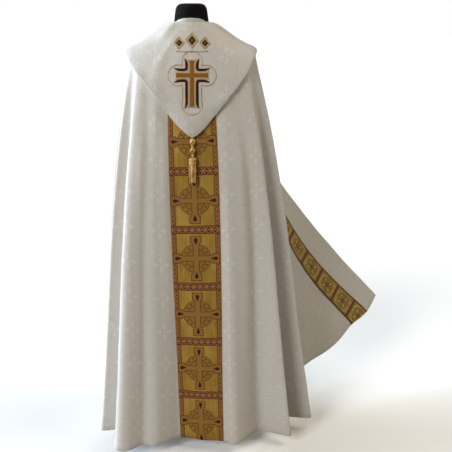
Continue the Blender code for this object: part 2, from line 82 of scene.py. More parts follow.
Line = namedtuple("Line", "name turn across back lift slack")
LINES = [
    Line("left front edge", -84.0, 0.036, -0.262, 0.000, 0.000),
    Line("left margin", -70.0, 0.082, -0.284, 0.000, 0.000),
    Line("left band, outer", -57.0, 0.124, -0.276, 0.000, 0.000),
    Line("left band, inner", -28.0, 0.212, -0.232, 0.000, 0.000),
    Line("valley", -20.0, 0.190, -0.140, 0.004, 0.000),
    Line("crest", -11.0, 0.334, -0.112, 0.006, 0.000),
    Line("valley", -3.0, 0.222, -0.026, 0.010, 0.000),
    Line("crest", 6.0, 0.350, 0.036, 0.012, 0.000),
    Line("valley", 14.0, 0.216, 0.098, 0.016, 0.000),
    Line("left side crest", 24.0, 0.332, 0.222, 0.012, 0.000),
    Line("hidden valley", 32.0, 0.204, 0.202, 0.010, 0.000),
    Line("left back crest, outer", 40.0, 0.273, 0.318, 0.000, 0.000),
    Line("left back crest, inner", 46.0, 0.232, 0.345, 0.000, 0.000),
    Line("shallow valley", 56.0, 0.178, 0.298, 0.000, 0.000),
    Line("shallow crest", 65.0, 0.128, 0.310, 0.000, 0.000),
    Line("back band, left", 74.6, 0.046, 0.252, 0.000, 0.000),
    Line("centre back", 90.0, -0.032, 0.268, 0.000, 0.000),
    Line("back band, right", 105.4, -0.109, 0.277, 0.000, 0.000),
    Line("right back crest", 113.0, -0.156, 0.299, 0.000, 0.000),
    Line("right back valley", 127.0, -0.236, 0.208, 0.000, 0.000),
    Line("broad crest", 143.0, -0.350, 0.240, 0.000, 0.000),
    Line("hidden valley", 157.0, -0.272, 0.124, 0.012, 0.000),
    Line("right side crest", 168.0, -0.432, 0.134, 0.014, 0.000),
    Line("hidden valley", 179.0, -0.262, 0.018, 0.030, 0.000),
    Line("panel, inner", 189.0, -0.428, -0.122, 0.098, 0.115),
    Line("panel, middle", 196.0, -0.524, -0.196, 0.128, 0.155),
    Line("panel, outer", 202.0, -0.584, -0.246, 0.156, 0.168),
    Line("right band, inner", 209.0, -0.640, -0.305, 0.197, 0.150),
    Line("right band, outer", 238.0, -0.713, -0.366, 0.232, 0.115),
    Line("right front edge", 264.0, -0.762, -0.442, 0.276, 0.040),
]

Section = namedtuple("Section", "height half_width back front")
TORSO = [
    Section(1.170, 0.184, 0.114, 0.118),
    Section(1.070, 0.166, 0.104, 0.112),
    Section(0.980, 0.150, 0.092, 0.100),
    Section(0.880, 0.166, 0.102, 0.102),
    Section(0.790, 0.178, 0.113, 0.105),
    Section(0.720, 0.172, 0.110, 0.101),
]

Ring = namedtuple("Ring", "radius below")
NECK_CAP = [
    Ring(0.0280, 0.0000),
    Ring(0.0400, 0.0025),
    Ring(0.0478, 0.0085),
    Ring(0.0520, 0.0165),
    Ring(0.0540, 0.0260),
    Ring(0.0565, 0.0440),
]

Edge = namedtuple("Edge", "turn reach")
HOOD_EDGE = [
    Edge(-57.0, 1.10),
    Edge(-28.0, 1.24),
    Edge(0.0, 1.38),
    Edge(18.0, 1.51),
    Edge(28.0, 1.61),
    Edge(39.0, 1.70),
    Edge(52.0, 1.82),
    Edge(60.0, 1.93),
    Edge(66.0, 2.000),
    Edge(76.0, 2.036),
    Edge(84.0, 2.066),
    Edge(90.0, 2.091),
    Edge(95.0, 2.072),
    Edge(102.0, 2.044),
    Edge(113.0, 2.014),
    Edge(117.2, 2.0050),
    Edge(118.6, 2.0018),
    Edge(120.0, 1.9965),
    Edge(123.0, 1.9680),
    Edge(128.0, 1.92),
    Edge(142.0, 1.78),
    Edge(157.0, 1.53),
    Edge(180.0, 1.38),
    Edge(209.0, 1.24),
    Edge(238.0, 1.10),
]
HOOD_CLOTH = 0.0020
HOOD_REST = 0.0004
# Soft folds in the hood: turn and how wide, distance below the neck and how long, and height
HOOD_FOLDS = [
    (38.0, 13.0, 0.035, 0.040, 0.0070),
    (150.0, 12.0, 0.030, 0.035, 0.0040),
    (126.0, 7.0, 0.100, 0.070, 0.0030),
    (62.0, 6.0, 0.150, 0.090, 0.0030),
]
HOOD_STAND_OFF = 0.0040
HOOD_TIP = 2.091
# How much more the hood stands off at its edge, and from how far in
HOOD_LIP = 0.0062
HOOD_LIP_REACH = 0.035
# The hood's soft swellings: height, width, slant and length
HOOD_SWELL = 0.0032
HOOD_SWELL_WIDTH = 0.11
HOOD_SWELL_SLANT = 0.16
HOOD_SWELL_LENGTH = 0.10
# The share of the swells that stands above the cloth's rest, and the distances below the
# neck within which swells and folds grow to their full height
HOOD_SWELL_SHARE = 0.35
HOOD_SWELL_FROM = 0.08
HOOD_FOLD_FROM = 0.012

Stand = namedtuple("Stand", "away height")
COLLAR = [
    Stand(0.0, 0.0130),
    Stand(30.0, 0.0125),
    Stand(50.0, 0.0090),
    Stand(66.0, 0.0045),
    Stand(180.0, 0.0045),
]
COLLAR_CLOTH = 0.0015
COLLAR_TUCK = 0.0004
COLLAR_FROM_EDGE = 0.02
# The closure tab: its thickness, how far off the fronts it lies, its turns between them,
# its rows, and its column over the line where they meet
CLOSURE_CLOTH = 0.0024
CLOSURE_REST = 0.0012
CLOSURE_TURNS = (266.0, 268.0, 270.0, 272.0, 274.0)
CLOSURE_ROWS = (12, 12, 24)
CLOSURE_FIRST = 6
CLOSURE_LAST = 21
CLOSURE_SEAM = 9
CLOSURE_HALF_WIDTH = 0.05

CROSS_CENTRE_BELOW = 0.180
CROSS_ACROSS = -0.005
CROSS_SIDE = 0.056
CROSS_TOP = 0.052
CROSS_FOOT = 0.106
# How far a patch's top edge goes in and down, as shares of its height
PATCH_INSET = 0.35
PATCH_DROP = 0.1
ROLL_SIDES = 8
LINE_STEP = 0.003

# How finely the cloth is made, and how it was cut
FINE_STEP = 0.012
YOKE_ROWS = 14
CORNER_ROWS = 14
FALL_ROWS = 64
HOOD_ROWS = 34
CUT_RADIUS = 0.50
FAR_FROM_EDGE = 0.5
CREASE = 0.0016
# Small creases: how wide, how long, slant, place in the noise, and share of the height
CREASES = [
    (0.075, 0.55, 0.0, 2.0, 0.90),
    (0.090, 0.30, 0.5, 7.0, 0.70),
    (0.030, 0.055, 0.0, 11.0, 0.22),
]
# How far below the neck the long folds start and fade, and over what length
FOLD_START = 0.30
FOLD_RISE = 0.26
FOLD_FADE = 0.80
FOLD_FADE_LENGTH = 0.60
# Long soft folds: line number, how wide in lines, height, and how much of it is left at the hem
LONG_FOLDS = [
    (12.75, 0.40, 0.0080, 0.6),
    (14.72, 0.32, 0.0080, 0.3),
    (18.64, 0.31, 0.0130, 0.4),
]


def power(value, exponent):
    """A signed power, for superellipses."""
    return math.copysign(abs(value) ** exponent, value)


def neck_point(turn, ease):
    """A point of the neck seam, ease outside the form."""
    away = (turn + 90.0) % 360.0 - 180.0
    share = NECK_TURN_SHARE * EDGE_TURN
    if abs(away) <= EDGE_TURN:
        around = NECK_TURN_SHARE * away
    else:
        past = (abs(away) - EDGE_TURN) / (180.0 - EDGE_TURN)
        around = math.copysign(share + past * (180.0 - share), away)
    angle = math.radians(90.0 + around)
    back = max(0.0, math.sin(angle))
    front = max(0.0, -math.sin(angle))
    return Vector((
        (NECK_HALF_WIDTH + ease) * math.cos(angle),
        (NECK_HALF_DEPTH + ease) * math.sin(angle),
        NECK_SIDE_HEIGHT + NECK_BACK_RISE * back - NECK_FRONT_DROP * front ** 2 + ease,
    ))


def shoulder_point(turn, ease):
    """A point of the line where the cloth turns from lying to hanging."""
    angle = math.radians(turn)
    depth = SHOULDER_BACK_DEPTH if math.sin(angle) > 0 else SHOULDER_FRONT_DEPTH
    drop = SHOULDER_DROP_BACK if math.sin(angle) > 0 else SHOULDER_DROP_FRONT
    exponent = 2.0 / SHOULDER_SQUARENESS
    across = power(math.cos(angle), exponent)
    towards = power(math.sin(angle), exponent)
    return Vector((
        (SHOULDER_HALF_WIDTH + ease) * across,
        (depth + ease) * towards,
        SHOULDER_HEIGHT + ease - drop * towards * towards,
    ))


def rounding(turn):
    """How far from the shoulder line the cloth starts and stops turning down."""
    towards = math.sin(math.radians(turn)) ** 2
    return ROUNDING_AT_SIDE + (ROUNDING_AT_BACK - ROUNDING_AT_SIDE) * towards


def bulge(share):
    """A swelling that is nothing at both ends and fullest a third of the way down."""
    return share * (1.0 - share) ** 2 * BULGE_SCALE


def sag(share):
    """How a slack line hangs: nothing at both ends and lowest a little above its middle."""
    return share * (1.0 - share) ** 1.25 * SAG_SCALE


def row_shares(yoke, corner, fall):
    """The rows of a path: which stretch each lies in, and how far along that stretch."""
    rows = [("yoke", i / yoke) for i in range(yoke)]
    rows += [("corner", i / corner) for i in range(corner)]
    rows += [("fall", i / fall) for i in range(fall + 1)]
    return rows


def path_point(stretch, share, turn, hem, slack, ease):
    """A point on the way from the neck over the shoulder and down to the hem."""
    neck = neck_point(turn, ease)
    shoulder = shoulder_point(turn, ease)
    near = rounding(turn)
    start = shoulder + (neck - shoulder).normalized() * near
    stop = shoulder + (hem - shoulder).normalized() * near
    if stretch == "yoke":
        point = neck.lerp(start, share)
        crown = share * (1.0 - share) ** 4 / CROWN_PEAK
        point.z += NECK_HOLLOW * crown * math.cos(math.radians(turn)) ** 2
        return point
    if stretch == "corner":
        return start.lerp(shoulder, share).lerp(shoulder.lerp(stop, share), share)
    point = stop.lerp(hem, share)
    out = Vector((hem.x, hem.y, 0.0)).normalized()
    point += out * SIDE_BULGE * bulge(share)
    point += Vector(SLACK_WAY) * slack * sag(share)
    return point


def spline(points, at):
    """A smooth value at a fractional index along rows of numbers."""
    last = len(points) - 1
    i = min(int(at), last - 1)
    t = at - i
    before = points[i - 1] if i > 0 else 2 * points[0] - points[1]
    after = points[i + 2] if i + 2 <= last else 2 * points[last] - points[last - 1]
    a, b = points[i], points[i + 1]
    return 0.5 * (
        2 * a
        + (b - before) * t
        + (2 * before - 5 * a + 4 * b - after) * t * t
        + (3 * a - before - 3 * b + after) * t ** 3
    )


LINE_VALUES = np.array([
    (row.across, row.back, HEM_HEIGHT + row.lift, row.slack) for row in LINES
])
LINE_NAMES = [row.name for row in LINES]


def turn_at(at):
    """The turn of a fractional line number."""
    return float(np.interp(at, range(len(LINES)), [row.turn for row in LINES]))


def fine_places():
    """Fractional line numbers of the columns, evenly spaced along the hem."""
    places = []
    for i, (a, b) in enumerate(zip(LINES, LINES[1:])):
        width = math.hypot(b.across - a.across, b.back - a.back)
        steps = max(4, round(width / FINE_STEP))
        places += [i + k / steps for k in range(steps)]
    return places + [len(LINES) - 1]


PLACES = fine_places()
ROWS = row_shares(YOKE_ROWS, CORNER_ROWS, FALL_ROWS)


def column(name):
    """The grid column of a named line."""
    return PLACES.index(LINE_NAMES.index(name))


def unit(rows):
    """The same directions at length one."""
    return rows / np.maximum(np.linalg.norm(rows, axis=-1, keepdims=True), 1e-9)


def grid_normals(grid):
    """The outward direction at each point of a grid."""
    return unit(np.cross(np.gradient(grid, axis=1), np.gradient(grid, axis=0)))


def path_of(at):
    """The turn, the hem's place and the slack at a fractional line number."""
    values = spline(LINE_VALUES, at)
    return turn_at(at), Vector(values[:3]), max(0.0, values[3])


def draped_grid(paths, rows):
    """The points of some paths from the neck to the hem."""
    return np.array([[path_point(*row, *path, EASE) for row in rows] for path in paths])


def run_along(grid, axis):
    """How far each point lies from the first one, along one way of a grid."""
    steps = np.diff(grid, axis=axis, prepend=grid.take([0], axis=axis))
    return np.cumsum(np.linalg.norm(steps, axis=2), axis=axis)


def cut_places(grid):
    """Where each point lay on the flat cloth, and its distance below the neck."""
    below, along = run_along(grid, 1), run_along(grid, 0)
    along -= along[column("centre back")]
    radius = CUT_RADIUS + below
    angle = along / radius
    flat = np.stack([radius * np.sin(angle), CUT_RADIUS - radius * np.cos(angle)], axis=2)
    return flat, below, along


def crease(spot, share):
    """How far the cloth stands out in its small creases, fuller further down."""
    u, v = spot
    height = 0.0
    for wide, tall, slant, place, weight in CREASES:
        height += weight * noise.noise(Vector(((u + slant * v) / wide, v / tall, place)))
    return CREASE * (0.75 + height) * (0.35 + 0.65 * share)


def long_folds(below):
    """How far the cloth stands out in its long soft folds."""
    at = np.array(PLACES)[:, None]
    start = np.clip((below - FOLD_START) / FOLD_RISE, 0.0, 1.0)
    start = start * start * (3.0 - 2.0 * start)
    late = np.clip((below - FOLD_FADE) / FOLD_FADE_LENGTH, 0.0, 1.0)
    lift = np.zeros(below.shape)
    for place, width, height, left in LONG_FOLDS:
        lift += height * np.exp(-((at - place) / width) ** 2) * start * (1.0 - (1.0 - left) * late)
    return lift


def draped_cloth():
    """The whole cope's outer side with its creases, and its cut."""
    grid = draped_grid([path_of(at) for at in PLACES], ROWS)
    flat, below, along = cut_places(grid)
    normals = grid_normals(grid)
    share = np.clip(below / 0.5, 0.0, 1.0)
    lift = np.array([[max(0.0, crease(*spot)) for spot in zip(*line)] for line in zip(flat, share)])
    grid = grid + normals * (lift + long_folds(below))[:, :, None]
    return grid, grid_normals(grid), flat, below, along


CLOTH_GRID, CLOTH_NORMALS, CUT, BELOW, ALONG = draped_cloth()
CENTRE = column("centre back")


def between(values, i, j):
    """A value of the cloth's grid at a fractional column and row."""
    a, b = min(int(i), values.shape[0] - 2), min(int(j), values.shape[1] - 2)
    s, t = i - a, j - b
    low = values[a, b] * (1 - s) + values[a + 1, b] * s
    high = values[a, b + 1] * (1 - s) + values[a + 1, b + 1] * s
    return low * (1 - t) + high * t


def row_of(reach):
    """The fractional row of a reach: yoke up to 1, corner up to 2, fall beyond."""
    if reach < 1.0:
        return reach * YOKE_ROWS
    if reach < 2.0:
        return YOKE_ROWS + (reach - 1.0) * CORNER_ROWS
    return YOKE_ROWS + CORNER_ROWS + (reach - 2.0) * FALL_ROWS


# Making meshes

def new_object(name, mesh, finishes):
    """One named piece with its finishes, riding on the root."""
    obj = bpy.data.objects.new(name, mesh)
    bpy.context.scene.collection.objects.link(obj)
    for finish in finishes:
        mesh.materials.append(finish)
    mesh.shade_smooth()
    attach(obj, "root")
    return obj


def mesh_from(bm, name, maps=None, recalc=True):
    """A mesh from faces made in code, with UV maps from pairs kept by vertex."""
    bm.verts.index_update()
    if recalc:
        bmesh.ops.recalc_face_normals(bm, faces=bm.faces)
    for label, values in (maps or {}).items():
        layer = bm.loops.layers.uv.new(label)
        for face in bm.faces:
            for loop in face.loops:
                loop[layer].uv = values[loop.vert.index]
    mesh = bpy.data.meshes.new(name)
    bm.to_mesh(mesh)
    bm.free()
    return mesh


def bridge(bm, rings, caps=True):
    """Joins rings of vertices into a skin, and closes its two ends."""
    for a, b in zip(rings, rings[1:]):
        for k in range(len(a)):
            bm.faces.new((a[k - 1], a[k], b[k], b[k - 1]))
    if caps:
        bm.faces.new(rings[0])
        bm.faces.new(rings[-1])


def way_at(points, i, closed=False):
    """The direction of a line at one of its points."""
    after = points[(i + 1) % len(points)] if closed or i < len(points) - 1 else points[i]
    before = points[i - 1] if closed or i > 0 else points[i]
    return (after - before).normalized()


def sheet_mesh(name, outer, inner, maps):
    """A closed sheet of cloth: an outer side, an inner side and a rounded edge all round.

    outer and inner are grids of points, and maps are UV maps as grids of pairs.
    The inner side and the edge's inner half take the second finish."""
    columns, rows = outer.shape[:2]
    bm = bmesh.new()
    values = {key: [] for key in maps}

    def put(point, i, j):
        for key, grid in maps.items():
            values[key].append(tuple(grid[i, j]))
        return bm.verts.new(point)

    top = [[put(outer[i, j], i, j) for j in range(rows)] for i in range(columns)]
    under = [[put(inner[i, j], i, j) for j in range(rows)] for i in range(columns)]
    loop = [(i, 0) for i in range(columns - 1)]
    loop += [(columns - 1, j) for j in range(rows - 1)]
    loop += [(i, rows - 1) for i in range(columns - 1, 0, -1)]
    loop += [(0, j) for j in range(rows - 1, 0, -1)]
    middle = []
    for i, j in loop:
        half = 0.5 * (outer[i, j] + inner[i, j])
        away = np.zeros(3)
        if i in (0, columns - 1):
            away += unit(outer[i, j] - outer[1 if i == 0 else i - 1, j])
        if j in (0, rows - 1):
            away += unit(outer[i, j] - outer[i, 1 if j == 0 else j - 1])
        thick = np.linalg.norm(outer[i, j] - inner[i, j])
        middle.append(put(half + unit(away) * thick / 2.0, i, j))
    for i in range(columns - 1):
        for j in range(rows - 1):
            bm.faces.new((top[i][j], top[i][j + 1], top[i + 1][j + 1], top[i + 1][j]))
            back = (under[i][j], under[i + 1][j], under[i + 1][j + 1], under[i][j + 1])
            bm.faces.new(back).material_index = 1
    count = len(loop)
    for k, (i, j) in enumerate(loop):
        ni, nj = loop[(k + 1) % count]
        a, b = middle[k], middle[(k + 1) % count]
        bm.faces.new((top[i][j], top[ni][nj], b, a))
        bm.faces.new((a, b, under[ni][nj], under[i][j])).material_index = 1
    return mesh_from(bm, name, values, recalc=False)


def edge_map(grid):
    """Distances along and in from the nearest of a sheet's edges, as a UV map."""
    across, down = run_along(grid, 0), run_along(grid, 1)
    from_sides = np.minimum(across, across[-1:] - across)
    from_hem = down[:, -1:] - down
    inward = np.minimum(np.minimum(from_sides, from_hem), FAR_FROM_EDGE)
    return np.stack([np.where(from_hem < from_sides, across, down), inward], axis=2)


# Patterns and finishes, as node groups and materials

# How soft the edges of a pattern are: crisp, woven and loose
CRISP = 0.0004
WOVEN = 0.0006
LOOSE = 0.0008


class Field:
    """A number that varies over the surface, wired from Math nodes."""

    def __init__(self, tree, socket):
        self.tree = tree
        self.socket = socket

    def reckon(self, operation, *others):
        node = self.tree.nodes.new("ShaderNodeMath")
        node.operation = operation
        for slot, value in zip(node.inputs, (self, *others)):
            if isinstance(value, Field):
                self.tree.links.new(value.socket, slot)
            else:
                slot.default_value = value
        return Field(self.tree, node.outputs[0])

    def __add__(self, other):
        return self.reckon("ADD", other)

    def __sub__(self, other):
        return self.reckon("SUBTRACT", other)

    def __mul__(self, other):
        return self.reckon("MULTIPLY", other)

    def __truediv__(self, other):
        return self.reckon("DIVIDE", other)

    def size(self):
        return self.reckon("ABSOLUTE")

    def least(self, other):
        return self.reckon("MINIMUM", other)

    def most(self, other):
        return self.reckon("MAXIMUM", other)

    def wave(self, length):
        """Between -1 and 1, once in each length."""
        return (self * (2.0 * math.pi / length)).reckon("SINE")

    def repeat(self, pitch):
        """The signed distance from the middle of the nearest cell of a row of cells."""
        return self - (self / pitch).reckon("ROUND") * pitch

    def less(self, limit, soft=CRISP):
        """1 where the number is less than the limit, 0 where it is more, with a soft edge."""
        node = self.tree.nodes.new("ShaderNodeMapRange")
        node.interpolation_type = "SMOOTHSTEP"
        self.tree.links.new(self.socket, node.inputs["Value"])
        node.inputs["From Min"].default_value = limit + soft
        node.inputs["From Max"].default_value = limit - soft
        return Field(self.tree, node.outputs[0])

    def more(self, limit, soft=CRISP):
        return self.less(limit, soft).turned()

    def turned(self):
        return (self * -1.0) + 1.0

    def line(self, place, width, soft=CRISP):
        """1 on a line of that width at that place."""
        return (self - place).size().less(width / 2.0, soft)


def hypot(x, y):
    """The distance of a point from the middle."""
    return (x * x + y * y).reckon("SQRT")


class Pattern:
    """A shader node group that takes a vector and numbers, and gives masks, heights and colours."""

    def __init__(self, name, results, **numbers):
        self.tree = bpy.data.node_groups.new(name, "ShaderNodeTree")
        sockets = self.tree.interface
        sockets.new_socket("Vector", in_out="INPUT", socket_type="NodeSocketVector")
        for label, value in numbers.items():
            socket = sockets.new_socket(label, in_out="INPUT", socket_type="NodeSocketFloat")
            socket.default_value = value
        for label in results:
            kind = "NodeSocketColor" if label == "Color" else "NodeSocketFloat"
            sockets.new_socket(label, in_out="OUTPUT", socket_type=kind)
        self.enter = self.tree.nodes.new("NodeGroupInput")
        self.leave = self.tree.nodes.new("NodeGroupOutput")
        self.vector = self.enter.outputs["Vector"]
        split = self.tree.nodes.new("ShaderNodeSeparateXYZ")
        self.tree.links.new(self.vector, split.inputs[0])
        self.across, self.up = (Field(self.tree, split.outputs[k]) for k in (0, 1))

    def number(self, label):
        """One of the numbers that the group takes."""
        return Field(self.tree, self.enter.outputs[label])

    def noise(self, scale, detail, stretch):
        """Noise that follows the group's vector."""
        return noise_at(self.tree, self.vector, scale, detail, stretch)

    def give(self, **results):
        """Wires what the group gives, and hands over its tree."""
        for label, value in results.items():
            self.tree.links.new(socket_of(value), self.leave.inputs[label])
        return self.tree


def socket_of(value):
    """The socket of a number, or the socket itself."""
    return value.socket if isinstance(value, Field) else value


def noise_at(tree, vector, scale, detail=3.0, stretch=(1.0, 1.0, 1.0)):
    """Noise between 0 and 1 at a scale, stretched along the axes."""
    mapping = tree.nodes.new("ShaderNodeMapping")
    mapping.inputs["Scale"].default_value = stretch
    tree.links.new(vector, mapping.inputs["Vector"])
    node = tree.nodes.new("ShaderNodeTexNoise")
    node.inputs["Scale"].default_value = scale
    node.inputs["Detail"].default_value = detail
    tree.links.new(mapping.outputs[0], node.inputs["Vector"])
    return Field(tree, node.outputs[0])


def mix(tree, mask, under, over):
    """One colour over another, by a mask."""
    node = tree.nodes.new("ShaderNodeMix")
    node.data_type = "RGBA"
    tree.links.new(mask.socket, node.inputs["Factor"])
    for label, value in (("A", under), ("B", over)):
        slot = next(s for s in node.inputs if s.name == label and s.type == "RGBA")
        if isinstance(value, bpy.types.NodeSocket):
            tree.links.new(value, slot)
        else:
            slot.default_value = (*value, 1.0)
    return next(s for s in node.outputs if s.type == "RGBA")


def overlaid(tree, colour, layers):
    """A colour with others laid over it in turn, each by its mask."""
    for mask, over in layers:
        colour = mix(tree, mask, colour, over)
    return colour


def damask_group():
    """The woven figures of the damask: pointed crosses with roundels between them."""
    pattern = Pattern("damask figures", ["Figure"], Across=0.0, Up=0.0)
    x, y = pattern.across + pattern.number("Across"), pattern.up + pattern.number("Up")
    a, b = x.repeat(DAMASK_PITCH).size(), y.repeat(DAMASK_PITCH).size()
    near, far = a.least(b), a.most(b)
    swell = ((far - PETAL_AT) / PETAL_HALF_LENGTH).reckon("POWER", 2.0).turned()
    petals = (near - swell * PETAL_HALF_WIDTH).less(0.0, WOVEN)
    star = a.reckon("POWER", STAR_CURVE) + b.reckon("POWER", STAR_CURVE)
    star = star * STAR_REACH ** -STAR_CURVE
    hollow = star.less(0.90, 0.04)
    c, d = (a * -1.0) + DAMASK_PITCH / 2, (b * -1.0) + DAMASK_PITCH / 2
    reach, inside = hypot(c, d), c.most(d)
    roundel = reach.less(ROUNDEL_REACH, LOOSE)
    rings = reach.line(OUTER_RING, 0.0030, LOOSE).most(reach.line(INNER_RING, 0.0022, LOOSE))
    squares = c.repeat(SQUARE_PITCH).size().most(d.repeat(SQUARE_PITCH).size()).less(0.0036, WOVEN)
    squares = squares * inside.less(SQUARES_REACH, WOVEN)
    rosette = (c.repeat(LOZENGE_PITCH).size() + d.repeat(LOZENGE_PITCH).size()).less(0.0034, LOOSE)
    rosette = rosette * inside.more(LOZENGES_START, WOVEN) * reach.less(LOZENGES_REACH, LOOSE)
    drift = [(p + q.wave(0.0295) * 0.0040).wave(0.0118) for p, q in ((a, b), (b, a))]
    curls = (drift[0] + drift[1]).size().less(0.42, 0.25)
    curls = curls * roundel.most(hollow).turned() * star.more(1.12, 0.05)
    figure = petals.most(star.line(0.97, 0.15, 0.05)).most(rings).most(squares).most(rosette)
    for eye in (hypot(c, b), hypot(a, d)):
        figure = figure.most((eye - EYE_RING).size().less(0.0014, WOVEN)).most(eye.less(0.0036, LOOSE))
    ground = (hollow * 0.18 + roundel * 0.12).turned() * 0.34
    return pattern.give(Figure=figure.most(curls * 0.75).most(ground))


def weave_group():
    """A fine satin ground: slanted floats with uneven threads across."""
    pattern = Pattern("satin weave", ["Height", "Tone"], Thread=0.0009)
    x, y, thread = pattern.across, pattern.up, pattern.number("Thread")
    slant = ((x + y) / thread * (2.0 * math.pi)).reckon("SINE")
    weft = (y / thread * (3.6 * math.pi)).reckon("SINE")
    slub = pattern.noise(60.0, 2.0, (1.0, 7.0, 1.0))
    tone = pattern.noise(7.0, 3.0, (1.0, 0.4, 1.0))
    return pattern.give(Height=slant * 0.5 + weft * 0.3 + slub * 1.2, Tone=tone)


def stitch_group():
    """A row of stitches that follows an edge, and the dent it pulls in the cloth."""
    pattern = Pattern("stitched edge", ["Stitch", "Dent"], Distance=0.006, Pitch=0.004)
    off = (pattern.up - pattern.number("Distance")).size()
    step = (pattern.across / pattern.number("Pitch")).reckon("FRACT")
    stitch = off.less(0.0006, 0.0003) * (step - 0.5).size().less(0.36, 0.08)
    return pattern.give(Stitch=stitch, Dent=off.less(0.0012, 0.0010))


# CREAM_SHADE is the cloth's darker tone, laid at random, and is also laid in the stitched dent as
# painted shade
CREAM_GROUND = (0.540, 0.512, 0.474)
CREAM_SHADE = (0.513, 0.485, 0.446)
CREAM_FIGURE = (0.636, 0.612, 0.578)
CREAM_STITCHES = (0.66, 0.62, 0.53)
LINING_LIGHT = (0.56, 0.51, 0.42)
LINING_SHADE = (0.50, 0.455, 0.37)
JERSEY_BLACK = (0.0042, 0.0042, 0.0043)
JERSEY_DUST = (0.0085, 0.0084, 0.0083)
JERSEY_SEAM = (0.003, 0.003, 0.003)
COAT_BLACK = (0.020, 0.020, 0.021)
COAT_WORN = (0.042, 0.041, 0.040)
FLOOR_PALE = (0.960, 0.965, 0.985)
FLOOR_SHADE = (0.950, 0.955, 0.975)
BROWN = (0.095, 0.032, 0.008)
TERRACOTTA = (0.235, 0.092, 0.022)
MAROON = (0.056, 0.0070, 0.0020)
ROSE = (0.420, 0.210, 0.090)
GOLD = (0.340, 0.190, 0.030)
PALE_GOLD = (0.520, 0.330, 0.075)
DULL_GOLD = (0.285, 0.160, 0.034)
ARM_GOLD = (0.280, 0.145, 0.032)
COMB_BROWN = (0.190, 0.062, 0.018)
BAR_BROWN = (0.170, 0.070, 0.020)
DOT_BROWN = (0.055, 0.014, 0.006)
OUTLINE_BROWN = (0.105, 0.052, 0.012)
DISC_GOLD = (0.270, 0.170, 0.040)
LEAF_GOLD = (0.600, 0.430, 0.140)
BRIGHT_GOLD = (0.640, 0.470, 0.160)
SOFT_GOLD = (0.450, 0.310, 0.085)

# Pitches of the woven patterns, and where along a band they start
DAMASK_PITCH = 0.118
WIDE_PITCH = 0.197
WIDE_START = 0.167
NARROW_PITCH = 0.115
NARROW_START = 0.0145
# The damask's pointed cross: how hollow its sides are and how far its points reach
STAR_CURVE = 0.62
STAR_REACH = 0.0365
# The petals on the cross's arms
PETAL_AT = 0.0145
PETAL_HALF_LENGTH = 0.0135
PETAL_HALF_WIDTH = 0.0042
# The roundels: two rings round a wreath of lozenges and a middle of small squares
ROUNDEL_REACH = 0.0420
OUTER_RING = 0.0395
INNER_RING = 0.0325
LOZENGE_PITCH = 0.0088
LOZENGES_START = 0.0175
LOZENGES_REACH = 0.0300
SQUARE_PITCH = 0.0105
SQUARES_REACH = 0.0155
# The ring of the small eyes half-way between the crosses
EYE_RING = 0.0085
# The wide band's cross: its disc, its ring, and where its limbs widen and end in drops
WIDE_DISC = 0.0330
WIDE_RING = 0.0405
WIDE_RING_WIDTH = 0.0150
LIMB_WIDENS = 0.030
DROP_AT = 0.0645
# Its border with a chain, and the rows of teeth between the crosses
WIDE_BORDER = 0.0632
CHAIN_AT = 0.0708
CHAIN_LINKS = 13.0
COMB_DEEP = 0.0130
TOOTH_PITCH = 0.0210
# The narrow band's flower: its leaves, buds and disc, inside bars
LEAF_AT = 0.0230
LEAF_HALF_WIDTH = 0.0088
BUD_AT = 0.0190
BUD_HALF_WIDTH = 0.0046
NARROW_DISC = 0.0345
NARROW_BORDER = 0.0415


